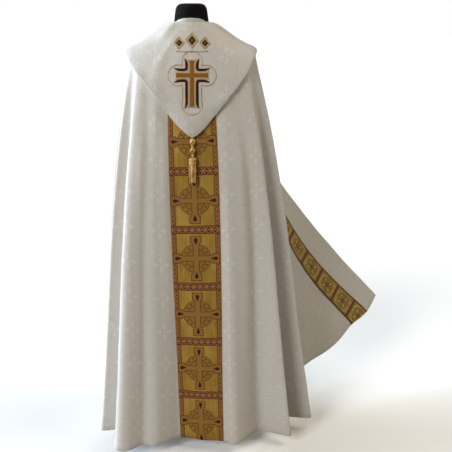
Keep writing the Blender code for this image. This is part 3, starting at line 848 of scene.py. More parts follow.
def wide_band_group():
    """The wide band's woven pattern: squares with a ringed cross, between rows of teeth."""
    pattern = Pattern("wide band pattern", ["Color", "Metal", "Height"])
    u, v = pattern.across, pattern.up
    y = (v - WIDE_START - WIDE_PITCH / 2).repeat(WIDE_PITCH)
    ax, ay = u.size(), y.size()
    streak = pattern.noise(26.0, 4.0, (4.0, 0.5, 1.0))
    sheen = pattern.noise(11.0, 2.0, (1.0, 0.8, 1.0))
    near, far = ax.least(ay), ax.most(ay)
    past = (far - LIMB_WIDENS).most(0.0) * 0.26
    limbs = []
    for half, end, house, away, funnel in (
        (0.0080, 0.076, 0.0155, 0.0105, 0.0050),
        (0.0102, 0.0775, 0.0180, 0.0130, 0.0073),
    ):
        limb = near.less(half) * far.less(end)
        limb = limb.most(near.less(house) * (far - 0.0650).size().less(away))
        spread = (near - past - funnel).less(0.0) * far.less(0.058)
        limbs.append(limb.most(spread * far.more(0.036)))
    limb, limb_edge = limbs
    radius = hypot(u, y)
    pie = radius.less(WIDE_DISC)
    ring = radius.line(WIDE_RING, WIDE_RING_WIDTH)
    ring_edge = radius.line(0.0325, 0.0024).most(radius.line(0.0490, 0.0024))
    dots = hypot(ax - 0.0218, ay - 0.0346).less(0.0026)
    dots = dots.most(hypot(ax - 0.0346, ay - 0.0218).less(0.0026))
    spike = (near * 2.8 + (far * -1.0)).less(-0.0455) * far.less(0.0650)
    drop = hypot(near, far - DROP_AT).less(0.0058).most(spike)
    border = ax.more(WIDE_BORDER)
    chain_step = v.repeat(WIDE_PITCH / CHAIN_LINKS)
    chain = hypot(chain_step, ax - CHAIN_AT).less(0.0024)
    links = (chain_step.size() * 0.62 + (ax - CHAIN_AT).size()).line(0.0046, 0.0013)
    row = (ay * -1.0) + WIDE_PITCH / 2
    comb = row.less(COMB_DEEP)
    tooth_x = u.repeat(TOOTH_PITCH).size()
    teeth = (tooth_x * 1.25 + row).less(0.0112) * row.more(0.0032) * tooth_x.less(0.0064)
    cross_x = (tooth_x * -1.0) + TOOTH_PITCH / 2
    lattice = (cross_x * 1.05 - row).size().less(0.0017) * row.less(0.0118)
    # The paler gold patches are painted sheen, mixed with the weave's own streaks
    field = mix(pattern.tree, (streak * 0.5 + sheen * 0.7).less(0.60, 0.22), PALE_GOLD, GOLD)
    colour = overlaid(pattern.tree, field, (
        (pie, DULL_GOLD),
        (pie * radius.less(0.0310) * streak.less(0.5, 0.2), GOLD),
        (ring, DULL_GOLD),
        (ring_edge, BROWN),
        (dots, MAROON),
        (border, TERRACOTTA),
        (border * links, ROSE),
        (border * chain, MAROON),
        (ax.line(0.0640, 0.0022), BROWN),
        (ax.more(0.0772), DULL_GOLD),
        (limb_edge, BROWN),
        (limb, ARM_GOLD),
        (drop, MAROON),
        (comb, COMB_BROWN),
        (comb * lattice, ROSE),
        (comb * teeth, MAROON),
        (comb * (tooth_x + row).less(0.0030), ROSE),
        (row.line(0.0132, 0.0022), BROWN),
    ))
    plain = border.most(comb).most(limb_edge).most(ring_edge).most(ring * 0.5)
    return pattern.give(Color=colour, Metal=plain.turned(), Height=plain + streak * 0.3)


def narrow_band_group():
    """The front band's woven pattern: squares with a small flowered cross, between bars."""
    pattern = Pattern("narrow band pattern", ["Color", "Metal", "Height"])
    u = pattern.across
    y = (pattern.up - NARROW_START).repeat(NARROW_PITCH)
    ax, ay = u.size(), y.size()
    streak = pattern.noise(30.0, 4.0, (3.0, 0.8, 1.0))
    radius = hypot(u, y)
    out, off = (ax + ay) * 0.7071, (ax - ay).size() * 0.7071
    leaf = off + (out - LEAF_AT).size() * 0.55
    bud = ax.least(ay) + (ax.most(ay) - BUD_AT).size() * 0.60
    leaves = leaf.less(LEAF_HALF_WIDTH).most(bud.less(BUD_HALF_WIDTH))
    outlines = leaf.line(LEAF_HALF_WIDTH, 0.0022).most(bud.line(BUD_HALF_WIDTH, 0.0020))
    ring = radius.line(0.0082, 0.0020).most(radius.line(NARROW_DISC, 0.0016))
    dots = hypot(ax - 0.0335, ay - 0.0420).less(0.0030).most(radius.less(0.0036))
    row = (ay * -1.0) + NARROW_PITCH / 2
    edging = ax.more(NARROW_BORDER).most(row.less(0.0070))
    field = mix(pattern.tree, streak.less(0.52, 0.14), BRIGHT_GOLD, SOFT_GOLD)
    colour = overlaid(pattern.tree, field, (
        (radius.less(NARROW_DISC) * 0.6, DISC_GOLD),
        (leaves, LEAF_GOLD),
        (outlines.most(ring), OUTLINE_BROWN),
        (ax.line(0.0400, 0.0012).most(row.line(0.0088, 0.0012)), BROWN),
        (edging, BAR_BROWN),
        (dots, DOT_BROWN),
    ))
    plain = edging.most(ring)
    return pattern.give(Color=colour, Metal=plain.turned(), Height=plain + streak * 0.3)


def thread_group():
    """Satin stitch: threads laid side by side, each a little different."""
    pattern = Pattern("laid threads", ["Height", "Tone"], Thread=0.0007)
    rib = (pattern.across / pattern.number("Thread") * (2.0 * math.pi)).reckon("SINE")
    return pattern.give(Height=rib, Tone=pattern.noise(300.0, 2.0, (4.0, 0.4, 1.0)))


class Finish:
    """A material being wired round its Principled shader."""

    def __init__(self, name, roughness, metallic=0.0, **constants):
        self.made = bpy.data.materials.new(name)
        self.made.use_nodes = True
        self.tree = self.made.node_tree
        self.shader = self.tree.nodes["Principled BSDF"]
        self.shader.inputs["Roughness"].default_value = roughness
        self.shader.inputs["Metallic"].default_value = metallic
        for label, value in constants.items():
            self.shader.inputs[label.replace("_", " ")].default_value = value

    def uv(self, name):
        """The named UV map."""
        node = self.tree.nodes.new("ShaderNodeUVMap")
        node.uv_map = name
        return node.outputs[0]

    def place(self):
        """Object coordinates."""
        return self.tree.nodes.new("ShaderNodeTexCoord").outputs["Object"]

    def group(self, tree, vector, **values):
        """What one of the shared groups gives, fed with a vector and values."""
        node = self.tree.nodes.new("ShaderNodeGroup")
        node.node_tree = tree
        self.tree.links.new(vector, node.inputs["Vector"])
        for label, value in values.items():
            node.inputs[label].default_value = value
        return {socket.name: Field(self.tree, socket) for socket in node.outputs}

    def mix(self, mask, under, over):
        """One colour over another, by a mask."""
        return mix(self.tree, mask, under, over)

    def feed(self, label, value):
        """Links a field or socket into the shader."""
        self.tree.links.new(socket_of(value), self.shader.inputs[label])

    def bump(self, height, distance, strength=1.0):
        """Raises the surface by a height."""
        node = self.tree.nodes.new("ShaderNodeBump")
        node.inputs["Strength"].default_value = strength
        node.inputs["Distance"].default_value = distance
        self.tree.links.new(height.socket, node.inputs["Height"])
        self.tree.links.new(node.outputs[0], self.shader.inputs["Normal"])


DAMASK = damask_group()
WEAVE = weave_group()
STITCH = stitch_group()
WIDE_BAND = wide_band_group()
NARROW_BAND = narrow_band_group()
THREADS = thread_group()


def brocade_finish(name, across, up, stitch_distance, stitch_pitch):
    """Cream damask with satin figures and a stitched edge."""
    made = Finish(name, 0.55, Sheen_Weight=0.06, Sheen_Roughness=0.4)
    cut = made.uv("cut")
    shape = made.group(DAMASK, cut, Across=across, Up=up)["Figure"]
    weave = made.group(WEAVE, cut)
    edge = made.group(STITCH, made.uv("edge"), Distance=stitch_distance, Pitch=stitch_pitch)
    ground = made.mix(weave["Tone"].less(0.5, 0.25), CREAM_GROUND, CREAM_SHADE)
    # The stitched dent is darkened with CREAM_SHADE as painted shade
    made.feed("Base Color", overlaid(made.tree, ground, (
        (shape, CREAM_FIGURE),
        (edge["Dent"] * 0.5, CREAM_SHADE),
        (edge["Stitch"], CREAM_STITCHES),
    )))
    made.feed("Roughness", (shape * -0.16 + weave["Tone"] * 0.10) + 0.50)
    height = shape * 0.9 + weave["Height"] * 0.16
    made.bump(height - edge["Dent"] * 2.0 + edge["Stitch"] * 1.4, 0.00028)
    return made.made


def lining_finish():
    """Plain cream satin lining."""
    made = Finish("cream lining", 0.42, Sheen_Weight=0.05)
    weave = made.group(WEAVE, made.uv("cut"), Thread=0.0006)
    made.feed("Base Color", made.mix(weave["Tone"].less(0.5, 0.3), LINING_LIGHT, LINING_SHADE))
    made.feed("Roughness", weave["Tone"] * 0.12 + 0.36)
    made.bump(weave["Height"], 0.00006)
    return made.made


def band_finish(name, pattern):
    """Woven gold band: metal threads on a coloured ground."""
    made = Finish(name, 0.42, Specular_IOR_Level=0.18)
    band = made.uv("band")
    woven = made.group(pattern, band)
    weave = made.group(WEAVE, band, Thread=0.0008)
    made.feed("Base Color", woven["Color"])
    made.feed("Metallic", woven["Metal"] * 0.55)
    made.feed("Roughness", (woven["Metal"] * -0.18) + weave["Tone"] * 0.10 + 0.52)
    made.bump(woven["Height"] * 0.8 + weave["Height"] * 0.3, 0.00022)
    return made.made


def satin_stitch_finish(name, colour, deep, thread=0.0008):
    """Embroidery thread laid side by side."""
    made = Finish(name, 0.40, Specular_IOR_Level=0.12)
    threads = made.group(THREADS, made.uv("lay"), Thread=thread)
    rib, tone = threads["Height"], threads["Tone"]
    blend = made.mix(tone.less(0.5, 0.2), colour, deep)
    # The deep colour laid where the rib is low, between the threads, is painted shade
    made.feed("Base Color", made.mix(rib.less(-0.2, 0.4), blend, deep))
    made.feed("Roughness", tone * 0.25 + 0.42)
    made.bump(rib, 0.00018)
    return made.made


def gold_thread_finish(name, colour, deep, metallic):
    """Twisted gold thread, seen on cords and on the tassel."""
    made = Finish(name, 0.38, metallic)
    spot = made.place()
    tone = noise_at(made.tree, spot, 420.0, 2.0, (1.0, 1.0, 0.10))
    patch = noise_at(made.tree, spot, 45.0, 2.0)
    made.feed("Base Color", made.mix((tone * 0.6 + patch * 0.4).less(0.47, 0.10), colour, deep))
    made.feed("Roughness", tone * 0.3 + 0.22)
    made.bump(tone, 0.0003, 0.6)
    return made.made


def jersey_finish():
    """Black knitted cover of the dress form: ribs of fine loops with a little dust."""
    made = Finish("black jersey", 0.85, Specular_IOR_Level=0.1)
    split = made.tree.nodes.new("ShaderNodeSeparateXYZ")
    made.tree.links.new(made.uv("cover"), split.inputs[0])
    x, y = (Field(made.tree, split.outputs[k]) for k in (0, 1))
    loops = x.wave(0.0013) * 0.6 + (y + x.wave(0.0026) * 0.0002).wave(0.0011) * 0.4
    dust = noise_at(made.tree, made.place(), 40.0, 5.0)
    seam = x.repeat(0.19).size().less(0.0010, 0.0006)
    colour = made.mix(dust.more(0.60, 0.12), JERSEY_BLACK, JERSEY_DUST)
    made.feed("Base Color", made.mix(seam, colour, JERSEY_SEAM))
    made.feed("Roughness", dust * 0.15 + 0.76)
    made.bump(loops - seam * 3.0, 0.00025)
    return made.made


def stand_metal_finish():
    """Black powder coat, worn a little in patches."""
    made = Finish("black powder coat", 0.45, metallic=0.35)
    spot = made.place()
    grain = noise_at(made.tree, spot, 900.0, 2.0)
    patch = noise_at(made.tree, spot, 12.0, 4.0)
    made.feed("Base Color", made.mix(patch.more(0.58, 0.10), COAT_BLACK, COAT_WORN))
    made.feed("Roughness", patch * 0.25 + grain * 0.10 + 0.30)
    made.bump(grain, 0.00020, 0.5)
    return made.made


def seen_apart(tree, hidden, seen, output):
    """Gives the camera's rays one shader and all other rays another."""
    rays = tree.nodes.new("ShaderNodeLightPath")
    either = tree.nodes.new("ShaderNodeMixShader")
    tree.links.new(rays.outputs["Is Camera Ray"], either.inputs[0])
    tree.links.new(hidden.outputs[0], either.inputs[1])
    tree.links.new(seen.outputs[0], either.inputs[2])
    tree.links.new(either.outputs[0], tree.nodes[output].inputs["Surface"])


def floor_finish():
    """A plain pale studio floor, which throws less light back than it shows."""
    made = Finish("pale floor", 0.85)
    patch = noise_at(made.tree, made.place(), 0.8, 2.0)
    made.feed("Base Color", made.mix(patch.less(0.5, 0.3), FLOOR_PALE, FLOOR_SHADE))
    quiet = made.tree.nodes.new("ShaderNodeBsdfDiffuse")
    quiet.inputs["Color"].default_value = (0.45, 0.42, 0.38, 1.0)
    seen_apart(made.tree, quiet, made.shader, "Material Output")
    return made.made


BROCADE = brocade_finish(
    "cream damask", across=0.0095, up=-0.0050, stitch_distance=0.030, stitch_pitch=0.012,
)
HOOD_BROCADE = brocade_finish(
    "cream damask of the hood", across=0.0, up=0.0250, stitch_distance=0.005, stitch_pitch=0.004,
)
LINING = lining_finish()
WIDE_GOLD = band_finish("wide gold band", WIDE_BAND)
NARROW_GOLD = band_finish("narrow gold band", NARROW_BAND)
# The second colour of each stitch is its darker tone, and is also laid between the threads as painted
# shade
MAROON_STITCH, CREAM_STITCH, GOLD_STITCH, OLIVE_STITCH = (
    satin_stitch_finish(name + " satin stitch", colour, deep) for name, colour, deep in (
        ("maroon", (0.085, 0.014, 0.006), (0.042, 0.006, 0.003)),
        ("cream", (0.70, 0.58, 0.38), (0.55, 0.42, 0.24)),
        ("gold", (0.430, 0.195, 0.035), (0.270, 0.105, 0.018)),
        ("olive", (0.270, 0.195, 0.030), (0.170, 0.120, 0.020)),
    )
)
GOLD_CORD, CORE_PAINTED_SHADE, FINE_CORD = (
    gold_thread_finish(*row) for row in (
        ("gold cord", (0.780, 0.540, 0.195), (0.330, 0.180, 0.040), 0.35),
        ("core threads darkened as painted shade", (0.150, 0.070, 0.020), (0.070, 0.030, 0.010), 0.0),
        ("fine gold cord", (0.560, 0.400, 0.165), (0.330, 0.210, 0.070), 0.3),
    )
)
JERSEY = jersey_finish()
POWDER_COAT = stand_metal_finish()


# The cope and what is laid on it

def build_cope():
    """The two halves, each with its lining, which meet under the back band."""
    inner = CLOTH_GRID - CLOTH_NORMALS * CLOTH
    made = []
    for name, part, seam, node in (
        ("cope_left_cloth", slice(0, CENTRE + 1), slice(-2, None), "cope_left_half"),
        ("cope_right_cloth", slice(CENTRE, None), slice(0, 2), "cope_right_half"),
    ):
        edges = edge_map(CLOTH_GRID[part])
        edges[seam, :, 1] = FAR_FROM_EDGE
        mesh = sheet_mesh(name, CLOTH_GRID[part], inner[part], {"cut": CUT[part], "edge": edges})
        obj = new_object(name, mesh, [BROCADE, LINING])
        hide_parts(node)
        made.append(obj)
    return made


def band_map(part, rows, half_width):
    """Across and up a band, in metres, so that its pattern keeps to its edges."""
    along = ALONG[part, rows]
    middle = 0.5 * (along[:1] + along[-1:])
    reach = 0.5 * (along[-1:] - along[:1])
    across = (along - middle) / reach * half_width
    below = BELOW[part, rows]
    up = (below[:, -1:] - below).mean(axis=0, keepdims=True).repeat(along.shape[0], axis=0)
    grid = CLOTH_GRID[part, rows]
    line = 0.5 * (grid[:1] + grid[-1:])
    rise = unit(-np.gradient(line[0], axis=0))[None]
    up = up + ((grid - line) * rise).sum(axis=2)
    return np.stack([across, up], axis=2)


def build_band(name, node, first, last, half_width, finish):
    """A woven band stitched onto the cope, from under the hood to the hem."""
    part = slice(column(first), column(last) + 1)
    rows = slice(YOKE_ROWS, None)
    grid, normals = CLOTH_GRID[part, rows], CLOTH_NORMALS[part, rows]
    under = grid + normals * BAND_REST
    crown = np.sin(np.linspace(0.0, math.pi, grid.shape[0]))[:, None, None] ** 0.5
    outer = grid + normals * (BAND_REST + BAND_CLOTH * (0.72 + 0.28 * crown))
    mesh = sheet_mesh(name, outer, under, {"band": band_map(part, rows, half_width)})
    obj = new_object(name, mesh, [finish, finish])
    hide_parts(node)
    return obj


def hood_surface():
    """The hood's underside and outer side, its cut and its distance from its edge."""
    columns = np.arange(column("left band, outer"), column("right band, outer") + 1)
    turns = np.array([turn_at(PLACES[i]) for i in columns])[:, None]
    reaches = np.interp(turns, *zip(*HOOD_EDGE)) * np.arange(HOOD_ROWS) / (HOOD_ROWS - 1)
    rows = [[row_of(reach) for reach in line] for line in reaches]

    def sample(values):
        return np.array([[between(values, i, j) for j in line] for i, line in zip(columns, rows)])

    seats, ways, cuts = sample(CLOTH_GRID), unit(sample(CLOTH_NORMALS)), sample(CUT)
    belows, alongs = sample(BELOW), sample(ALONG)
    rests = np.minimum(1.0, reaches)
    to_edge = belows[:, -1:] - belows
    lift = HOOD_REST + (HOOD_STAND_OFF - HOOD_REST) * rests
    lift = lift + HOOD_LIP * np.exp(-to_edge / HOOD_LIP_REACH) * rests
    soft = np.array([[
        noise.noise(Vector((u / HOOD_SWELL_WIDTH + v / HOOD_SWELL_SLANT, v / HOOD_SWELL_LENGTH, 4.0)))
        for u, v in line] for line in cuts])
    soft = np.maximum(0.0, HOOD_SWELL_SHARE + soft)
    lift = lift + HOOD_SWELL * soft * rests * np.clip(belows / HOOD_SWELL_FROM, 0.0, 1.0)
    for turn, spread, below, reach, height in HOOD_FOLDS:
        near = np.exp(-((turns - turn) / spread) ** 2 - ((belows - below) / reach) ** 2)
        lift = lift + height * near * np.clip(belows / HOOD_FOLD_FROM, 0.0, 1.0)
    under = seats + ways * lift[:, :, None]
    step = run_along(under[:, -1:], 0).repeat(HOOD_ROWS, axis=1)
    slope = np.abs(np.gradient(belows[:, -1]) / np.maximum(np.gradient(step[:, 0]), 1e-6))
    square = np.sqrt(np.clip(1.0 - np.clip(slope, 0, 0.9) ** 2, 0.2, 1.0))[:, None]
    edges = np.stack([step, to_edge * square], axis=2)
    return under + ways * HOOD_CLOTH, under, np.stack([alongs, -belows], axis=2), edges


def build_hood():
    """The shield-shaped hood, with a turned and stitched edge."""
    outer, under, flat, edges = hood_surface()
    mesh = sheet_mesh("hood_cloth", outer, under, {"cut": flat, "edge": edges})
    obj = new_object("hood_cloth", mesh, [HOOD_BROCADE, LINING])
    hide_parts("hood")
    return obj


def build_collar():
    """The neck binding, folded over at its top."""
    thick = COLLAR_CLOTH
    profile = [(0.0, 0.0), (-0.0001, 0.22), (0.00015, 0.55), (0.0, 0.86), (-0.00035, 0.97)]
    profile += [(-0.5 * thick, 1.0), (0.00035 - thick, 0.97), (-thick, 0.86), (-thick, 0.0)]
    bm = bmesh.new()
    rings, cuts = [], []
    run = 0.0
    before = None
    up = Vector((0.0, 0.0, 1.0))
    for at in PLACES:
        turn = turn_at(at)
        seam = neck_point(turn, EASE)
        height = float(np.interp(abs(turn - 90.0), *zip(*COLLAR)))
        out = Vector((seam.x, seam.y, 0.0)).normalized()
        foot = seam - out * COLLAR_TUCK + up * SEAM_GAP
        rings.append([bm.verts.new(foot + out * a + up * height * b) for a, b in profile])
        run += (seam - before).length if before else 0.0
        before = seam
        cuts += [(run, height * b) for a, b in profile]
    bridge(bm, rings, caps=False)
    bm.faces.new(rings[0])
    bm.faces.new(rings[-1][::-1])
    maps = {"cut": cuts, "edge": [(u, COLLAR_FROM_EDGE) for u, v in cuts]}
    obj = new_object("collar_cloth", mesh_from(bm, "collar_cloth", maps), [BROCADE])
    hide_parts("collar")
    return obj


def build_closure():
    """The cloth tab that joins the two fronts on the chest, shown fastened."""
    rows = row_shares(*CLOSURE_ROWS)[CLOSURE_FIRST:CLOSURE_LAST]
    hem = Vector((0.0, LINES[0].back, HEM_HEIGHT))
    last = len(LINES) - 1
    paths = [path_of(at) for at in np.linspace(last - 0.5, last, 7)]
    paths += [(turn, hem, 0.0) for turn in CLOSURE_TURNS]
    paths += [path_of(at) for at in np.linspace(0.0, 1.0, 8)]
    grid = draped_grid(paths, rows)
    normals = grid_normals(grid)
    lift = SEAM_GAP + CLOSURE_REST
    run, down = run_along(grid, 0), run_along(grid, 1)
    half = down[:, -1:] / 2.0
    across = (down - half) / half * CLOSURE_HALF_WIDTH
    up = run - run[CLOSURE_SEAM] + NARROW_START + NARROW_PITCH / 2
    outer, under = grid + normals * (lift + CLOSURE_CLOTH), grid + normals * lift
    mesh = sheet_mesh("closure_cloth", outer, under, {"band": np.stack([across, up], axis=2)})
    obj = new_object("closure_cloth", mesh, [NARROW_GOLD, NARROW_GOLD])
    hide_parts("closure_tab")
    return obj


# Embroidery on the hood

class HoodFace:
    """Finds places on the hood's outer side from distances across and above the crossing."""

    def __init__(self, hood):
        mesh = hood.data
        corners = [p.vertices for p in mesh.polygons]
        self.tree = BVHTree.FromPolygons([v.co for v in mesh.vertices], corners)
        self.below = BELOW[CENTRE]
        self.track = CLOTH_GRID[CENTRE]
        ways = unit(np.gradient(self.track, axis=0))
        self.ways = np.stack([np.zeros(len(ways)), -ways[:, 2], ways[:, 1]], axis=1)

    def along(self, down, rows):
        """A place or direction so far down the middle of the back."""
        return Vector([float(np.interp(down, self.below, rows[:, k])) for k in range(3)])

    def at(self, x, y, lift):
        """The point that lies x across and y above the crossing, lifted off the hood."""
        down = CROSS_CENTRE_BELOW - y
        spot = self.along(down, self.track)
        way = self.along(down, self.ways).normalized()
        start = Vector((CROSS_ACROSS - x, spot.y, spot.z)) + way * 0.25
        hit, normal = self.tree.ray_cast(start, -way)[:2]
        if normal.dot(way) < 0:
            normal = -normal
        return hit + normal * lift, normal


def raised_patch(face, name, outline, low, high, step, finish, turned=False):
    """A padded patch of stitching with a rounded edge, laid on the hood."""
    flat = bmesh.new()
    flat.faces.new([flat.verts.new((x, y, 0.0)) for x, y in outline])
    xs, ys = zip(*outline)
    cuts = [((x, 0, 0), (1, 0, 0)) for x in np.arange(min(xs) + step, max(xs), step)]
    cuts += [((0, y, 0), (0, 1, 0)) for y in np.arange(min(ys) + step, max(ys), step)]
    for spot, way in cuts:
        everything = flat.verts[:] + flat.edges[:] + flat.faces[:]
        bmesh.ops.bisect_plane(flat, geom=everything, plane_co=spot, plane_no=way)
    bmesh.ops.remove_doubles(flat, verts=flat.verts, dist=1e-6)
    bmesh.ops.triangulate(flat, faces=[f for f in flat.faces if len(f.verts) > 4])
    flat.verts.index_update()
    rim = [edge for edge in flat.edges if edge.is_boundary]
    inwards = {}
    for edge in rim:
        a, b = edge.verts
        side = Vector((a.co.y - b.co.y, b.co.x - a.co.x, 0.0)).normalized()
        if side.dot(edge.link_faces[0].calc_center_median() - (a.co + b.co) / 2) < 0:
            side = -side
        for v in (a, b):
            inwards[v.index] = inwards.get(v.index, Vector()) + side
    bm = bmesh.new()
    lays, tops, lows = [], {}, {}
    for v in flat.verts:
        x, y = v.co.x, v.co.y
        lays += [(y, x) if turned else (x, y)] * 2
        lows[v.index] = bm.verts.new(face.at(x, y, low)[0])
        rise = high
        if v.index in inwards:
            way = inwards[v.index].normalized() * PATCH_INSET * (high - low)
            x, y, rise = x + way.x, y + way.y, high - PATCH_DROP * (high - low)
        tops[v.index] = bm.verts.new(face.at(x, y, rise)[0])
    for f in flat.faces:
        order = [v.index for v in f.verts]
        bm.faces.new([tops[i] for i in order])
        bm.faces.new([lows[i] for i in reversed(order)])
    for edge in rim:
        a, b = edge.verts[0].index, edge.verts[1].index
        bm.faces.new((lows[a], lows[b], tops[b], tops[a]))
    obj = new_object(name, mesh_from(bm, name, {"lay": lays}), [finish])
    flat.free()
    return obj


def laid_roll(face, name, track, widths, thick, finish, closed=False):
    """A roll of stitching or a fine cord that follows a line on the hood."""
    spots, normals = zip(*[face.at(x, y, 0.0) for x, y in track])
    bm = bmesh.new()
    rings, lays = [], []
    run = 0.0
    for i, (point, normal, half) in enumerate(zip(spots, normals, widths)):
        side = way_at(spots, i, closed).cross(normal).normalized()
        if i:
            run += (point - spots[i - 1]).length
        ring = []
        for k in range(ROLL_SIDES):
            t = 2.0 * math.pi * k / ROLL_SIDES
            across, rise = half * math.cos(t), thick * (0.5 + 0.5 * math.sin(t))
            ring.append(bm.verts.new(point + side * across + normal * rise))
            lays.append((run, across))
        rings.append(ring)
    bridge(bm, rings + rings[:1] if closed else rings, caps=not closed)
    obj = new_object(name, mesh_from(bm, name, {"lay": lays}), [finish])
    return obj


def cross_outline(bar, flare, length, side, top, foot):
    """A cross with flared ends, as distances across and above its crossing."""
    points = []
    for quarter, reach in enumerate((side, top, side, foot)):
        c, s = ((1, 0), (0, 1), (-1, 0), (0, -1))[quarter]
        shape = ((bar, -bar), (reach - length, -bar), (reach, -flare))
        shape += ((reach, flare), (reach - length, bar))
        points += [(x * c - y * s, x * s + y * c) for x, y in shape]
    return points


def stepped(corners, step, least):
    """Points in short even steps from each corner towards the next."""
    line = []
    for a, b in zip(corners, corners[1:]):
        count = max(least, round((b - a).length / step))
        line += [a.lerp(b, k / count) for k in range(count)]
    return line


def softened(line, times, closed=False):
    """A line with softer corners; the ends of an open one stay."""
    for _ in range(times):
        after = line[1:] + line[:1]
        soft = [line[i - 1] * 0.25 + p * 0.5 + after[i] * 0.25 for i, p in enumerate(line)]
        line = soft if closed else [line[0]] + soft[1:-1] + [line[-1]]
    return line


def rounded(points):
    """The same line in short even steps, with softened corners."""
    corners = [Vector((*p, 0.0)) for p in points]
    line = softened(stepped(corners, LINE_STEP, 2) + corners[-1:], 3)
    return [(p.x, p.y) for p in line]


def build_cross(face):
    """The applied cross: a cream ground, a gold core and maroon stitching in its angles."""
    outline = cross_outline(
        bar=0.0135, flare=0.0200, length=0.016, side=CROSS_SIDE, top=CROSS_TOP, foot=CROSS_FOOT,
    )
    ground = raised_patch(
        face, "hood_cross_ground", outline, low=0.0001, high=0.0011, step=0.006, finish=CREAM_STITCH,
    )
    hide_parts("hood_cross")
    core = cross_outline(
        bar=0.0068, flare=0.0085, length=0.010,
        side=CROSS_SIDE - 0.004, top=CROSS_TOP - 0.004, foot=CROSS_FOOT - 0.005,
    )
    raised_patch(
        face, "hood_cross_core", core, low=0.0010, high=0.0021, step=0.005, finish=GOLD_STITCH,
        turned=True,
    )
    mid, tip = 0.0178, 0.0235
    for name, sx, sy, tall in (
        ("upper_left", -1, 1, CROSS_TOP),
        ("upper_right", 1, 1, CROSS_TOP),
        ("lower_left", -1, -1, CROSS_FOOT),
        ("lower_right", 1, -1, CROSS_FOOT),
    ):
        track = [(CROSS_SIDE + 0.002, tip), (CROSS_SIDE - 0.012, mid), (mid, mid)]
        track += [(mid, tall - 0.012), (tip, tall + 0.002)]
        track = rounded([(sx * x, sy * y) for x, y in track])
        ends = [min(i, len(track) - 1 - i) / 5.0 for i in range(len(track))]
        widths = [0.0042 * min(1.0, 0.25 + 0.75 * near) for near in ends]
        laid_roll(face, "hood_cross_edge_" + name, track, widths, 0.0020, MAROON_STITCH)


def arc(x, y, radius, start, stop, step=6.0):
    """Points of an arc from one angle to another, in degrees."""
    count = max(2, round(abs(stop - start) / step))
    turns = [math.radians(start + (stop - start) * k / count) for k in range(count + 1)]
    return [(x + radius * math.cos(t), y + radius * math.sin(t)) for t in turns]


def quatrefoil():
    """A closed line of four round lobes about the cross, the lowest one drawn down."""
    radius = 0.034
    line = arc(0.046, 0.0, radius, -116.0, 116.0)
    line += arc(0.0, 0.045, radius, -26.0, 206.0)
    line += arc(-0.046, 0.0, radius, 64.0, 296.0)
    line += arc(0.0, -0.095, radius, 156.0, 384.0)
    return line


def closed_line(points, step):
    """A closed line in short even steps, with softened corners."""
    corners = [Vector((*p, 0.0)) for p in points]
    line = softened(stepped(corners + corners[:1], step, 1), 2, closed=True)
    return [(p.x, p.y) for p in line]


def diamond(x, y, wide, tall):
    """A four-cornered lozenge."""
    return [(x - wide, y), (x, y - tall), (x + wide, y), (x, y + tall)]


def fine_cord(face, name, track, half, thick, closed=True):
    """A fine gold cord couched along a line on the hood."""
    laid_roll(face, name, track, [half] * len(track), thick, FINE_CORD, closed)


def build_emblem_frame(face):
    """A couched gold frame of four lobes round the cross, and a row of lozenges above it."""
    fine_cord(face, "hood_frame_cord", closed_line(quatrefoil(), 0.002), 0.0012, 0.0022)
    for name, x, y, wide, tall in (
        ("left", -0.043, 0.108, 0.0185, 0.0215),
        ("middle", 0.0, 0.116, 0.0215, 0.0290),
        ("right", 0.043, 0.108, 0.0185, 0.0215),
    ):
        border = closed_line(diamond(x, y, wide, tall), 0.0025)
        fine_cord(face, "hood_lozenge_cord_" + name, border, 0.0011, 0.0019)
        for part, share, low, high, finish in (
            ("ground", 0.86, 0.0001, 0.0008, CREAM_STITCH),
            ("middle", 0.58, 0.0007, 0.0016, MAROON_STITCH),
            ("heart", 0.25, 0.0014, 0.0023, OLIVE_STITCH),
        ):
            piece = "hood_lozenge_" + part + "_" + name
            outline = diamond(x, y, wide * share, tall * share)
            raised_patch(face, piece, outline, low, high, 0.004, finish)
    half = [(0.026, 0.0775), (0.052, 0.0800)]
    rail = [(-x, y) for x, y in reversed(half)] + [(0.0, 0.0768)] + half
    fine_cord(face, "hood_rail_cord", rounded(rail), 0.0012, 0.0020, closed=False)


# Cord, knots and tassel

CORD_POINTS = 28
CORD_START = 0.0006
CORD_RUN = 0.0662
CORD_RADIUS = 0.0036
STRAND_SHARE = 0.52
# How far the cord stands off the back band at distances below the hood's point
CORD_STANDS = ((0.000, 0.0052), (0.003, 0.0080), (0.007, 0.0125), (0.013, 0.0145))
KNOT_LEADS = 3
KNOT_BIGHTS = 4
KNOT_POINTS = 150
KNOT_CORD_RADIUS = 0.0023
TASSEL_BELOW = 0.0650
TASSEL_STAND = 0.0145
TASSEL_THREADS = 52
TASSEL_CLUMPS = 6
THREAD_STEPS = 16
GROOVE_DEPTH = 0.0042
CORE_STEPS = 14
CORE_INSET = 0.0062
BINDING_TURNS = 4
BINDING_STEPS = 26
BINDING_PITCH = 0.0013
# The tassel's outline: share of a thread's length, radius, and distance below the top
TASSEL_OUTLINE = (
    (0.00, 0.0030, 0.0000),
    (0.05, 0.0080, 0.0008),
    (0.10, 0.0112, 0.0042),
    (0.15, 0.0121, 0.0085),
    (0.22, 0.0112, 0.0150),
    (0.25, 0.0106, 0.0180),
    (0.32, 0.0117, 0.0240),
    (0.55, 0.0123, 0.0450),
    (0.80, 0.0117, 0.0680),
    (1.00, 0.0108, 0.0850),
)


def hanging_line():
    """Where the cord starts under the hood's point, and which way it and the tassel lie."""
    tip = Vector(between(CLOTH_GRID, CENTRE, row_of(HOOD_TIP)))
    lower = Vector(between(CLOTH_GRID, CENTRE, row_of(HOOD_TIP + 0.13)))
    down = lower - tip
    down.x = 0.0
    down.normalize()
    return tip, down, Vector((0.0, -down.z, down.y))


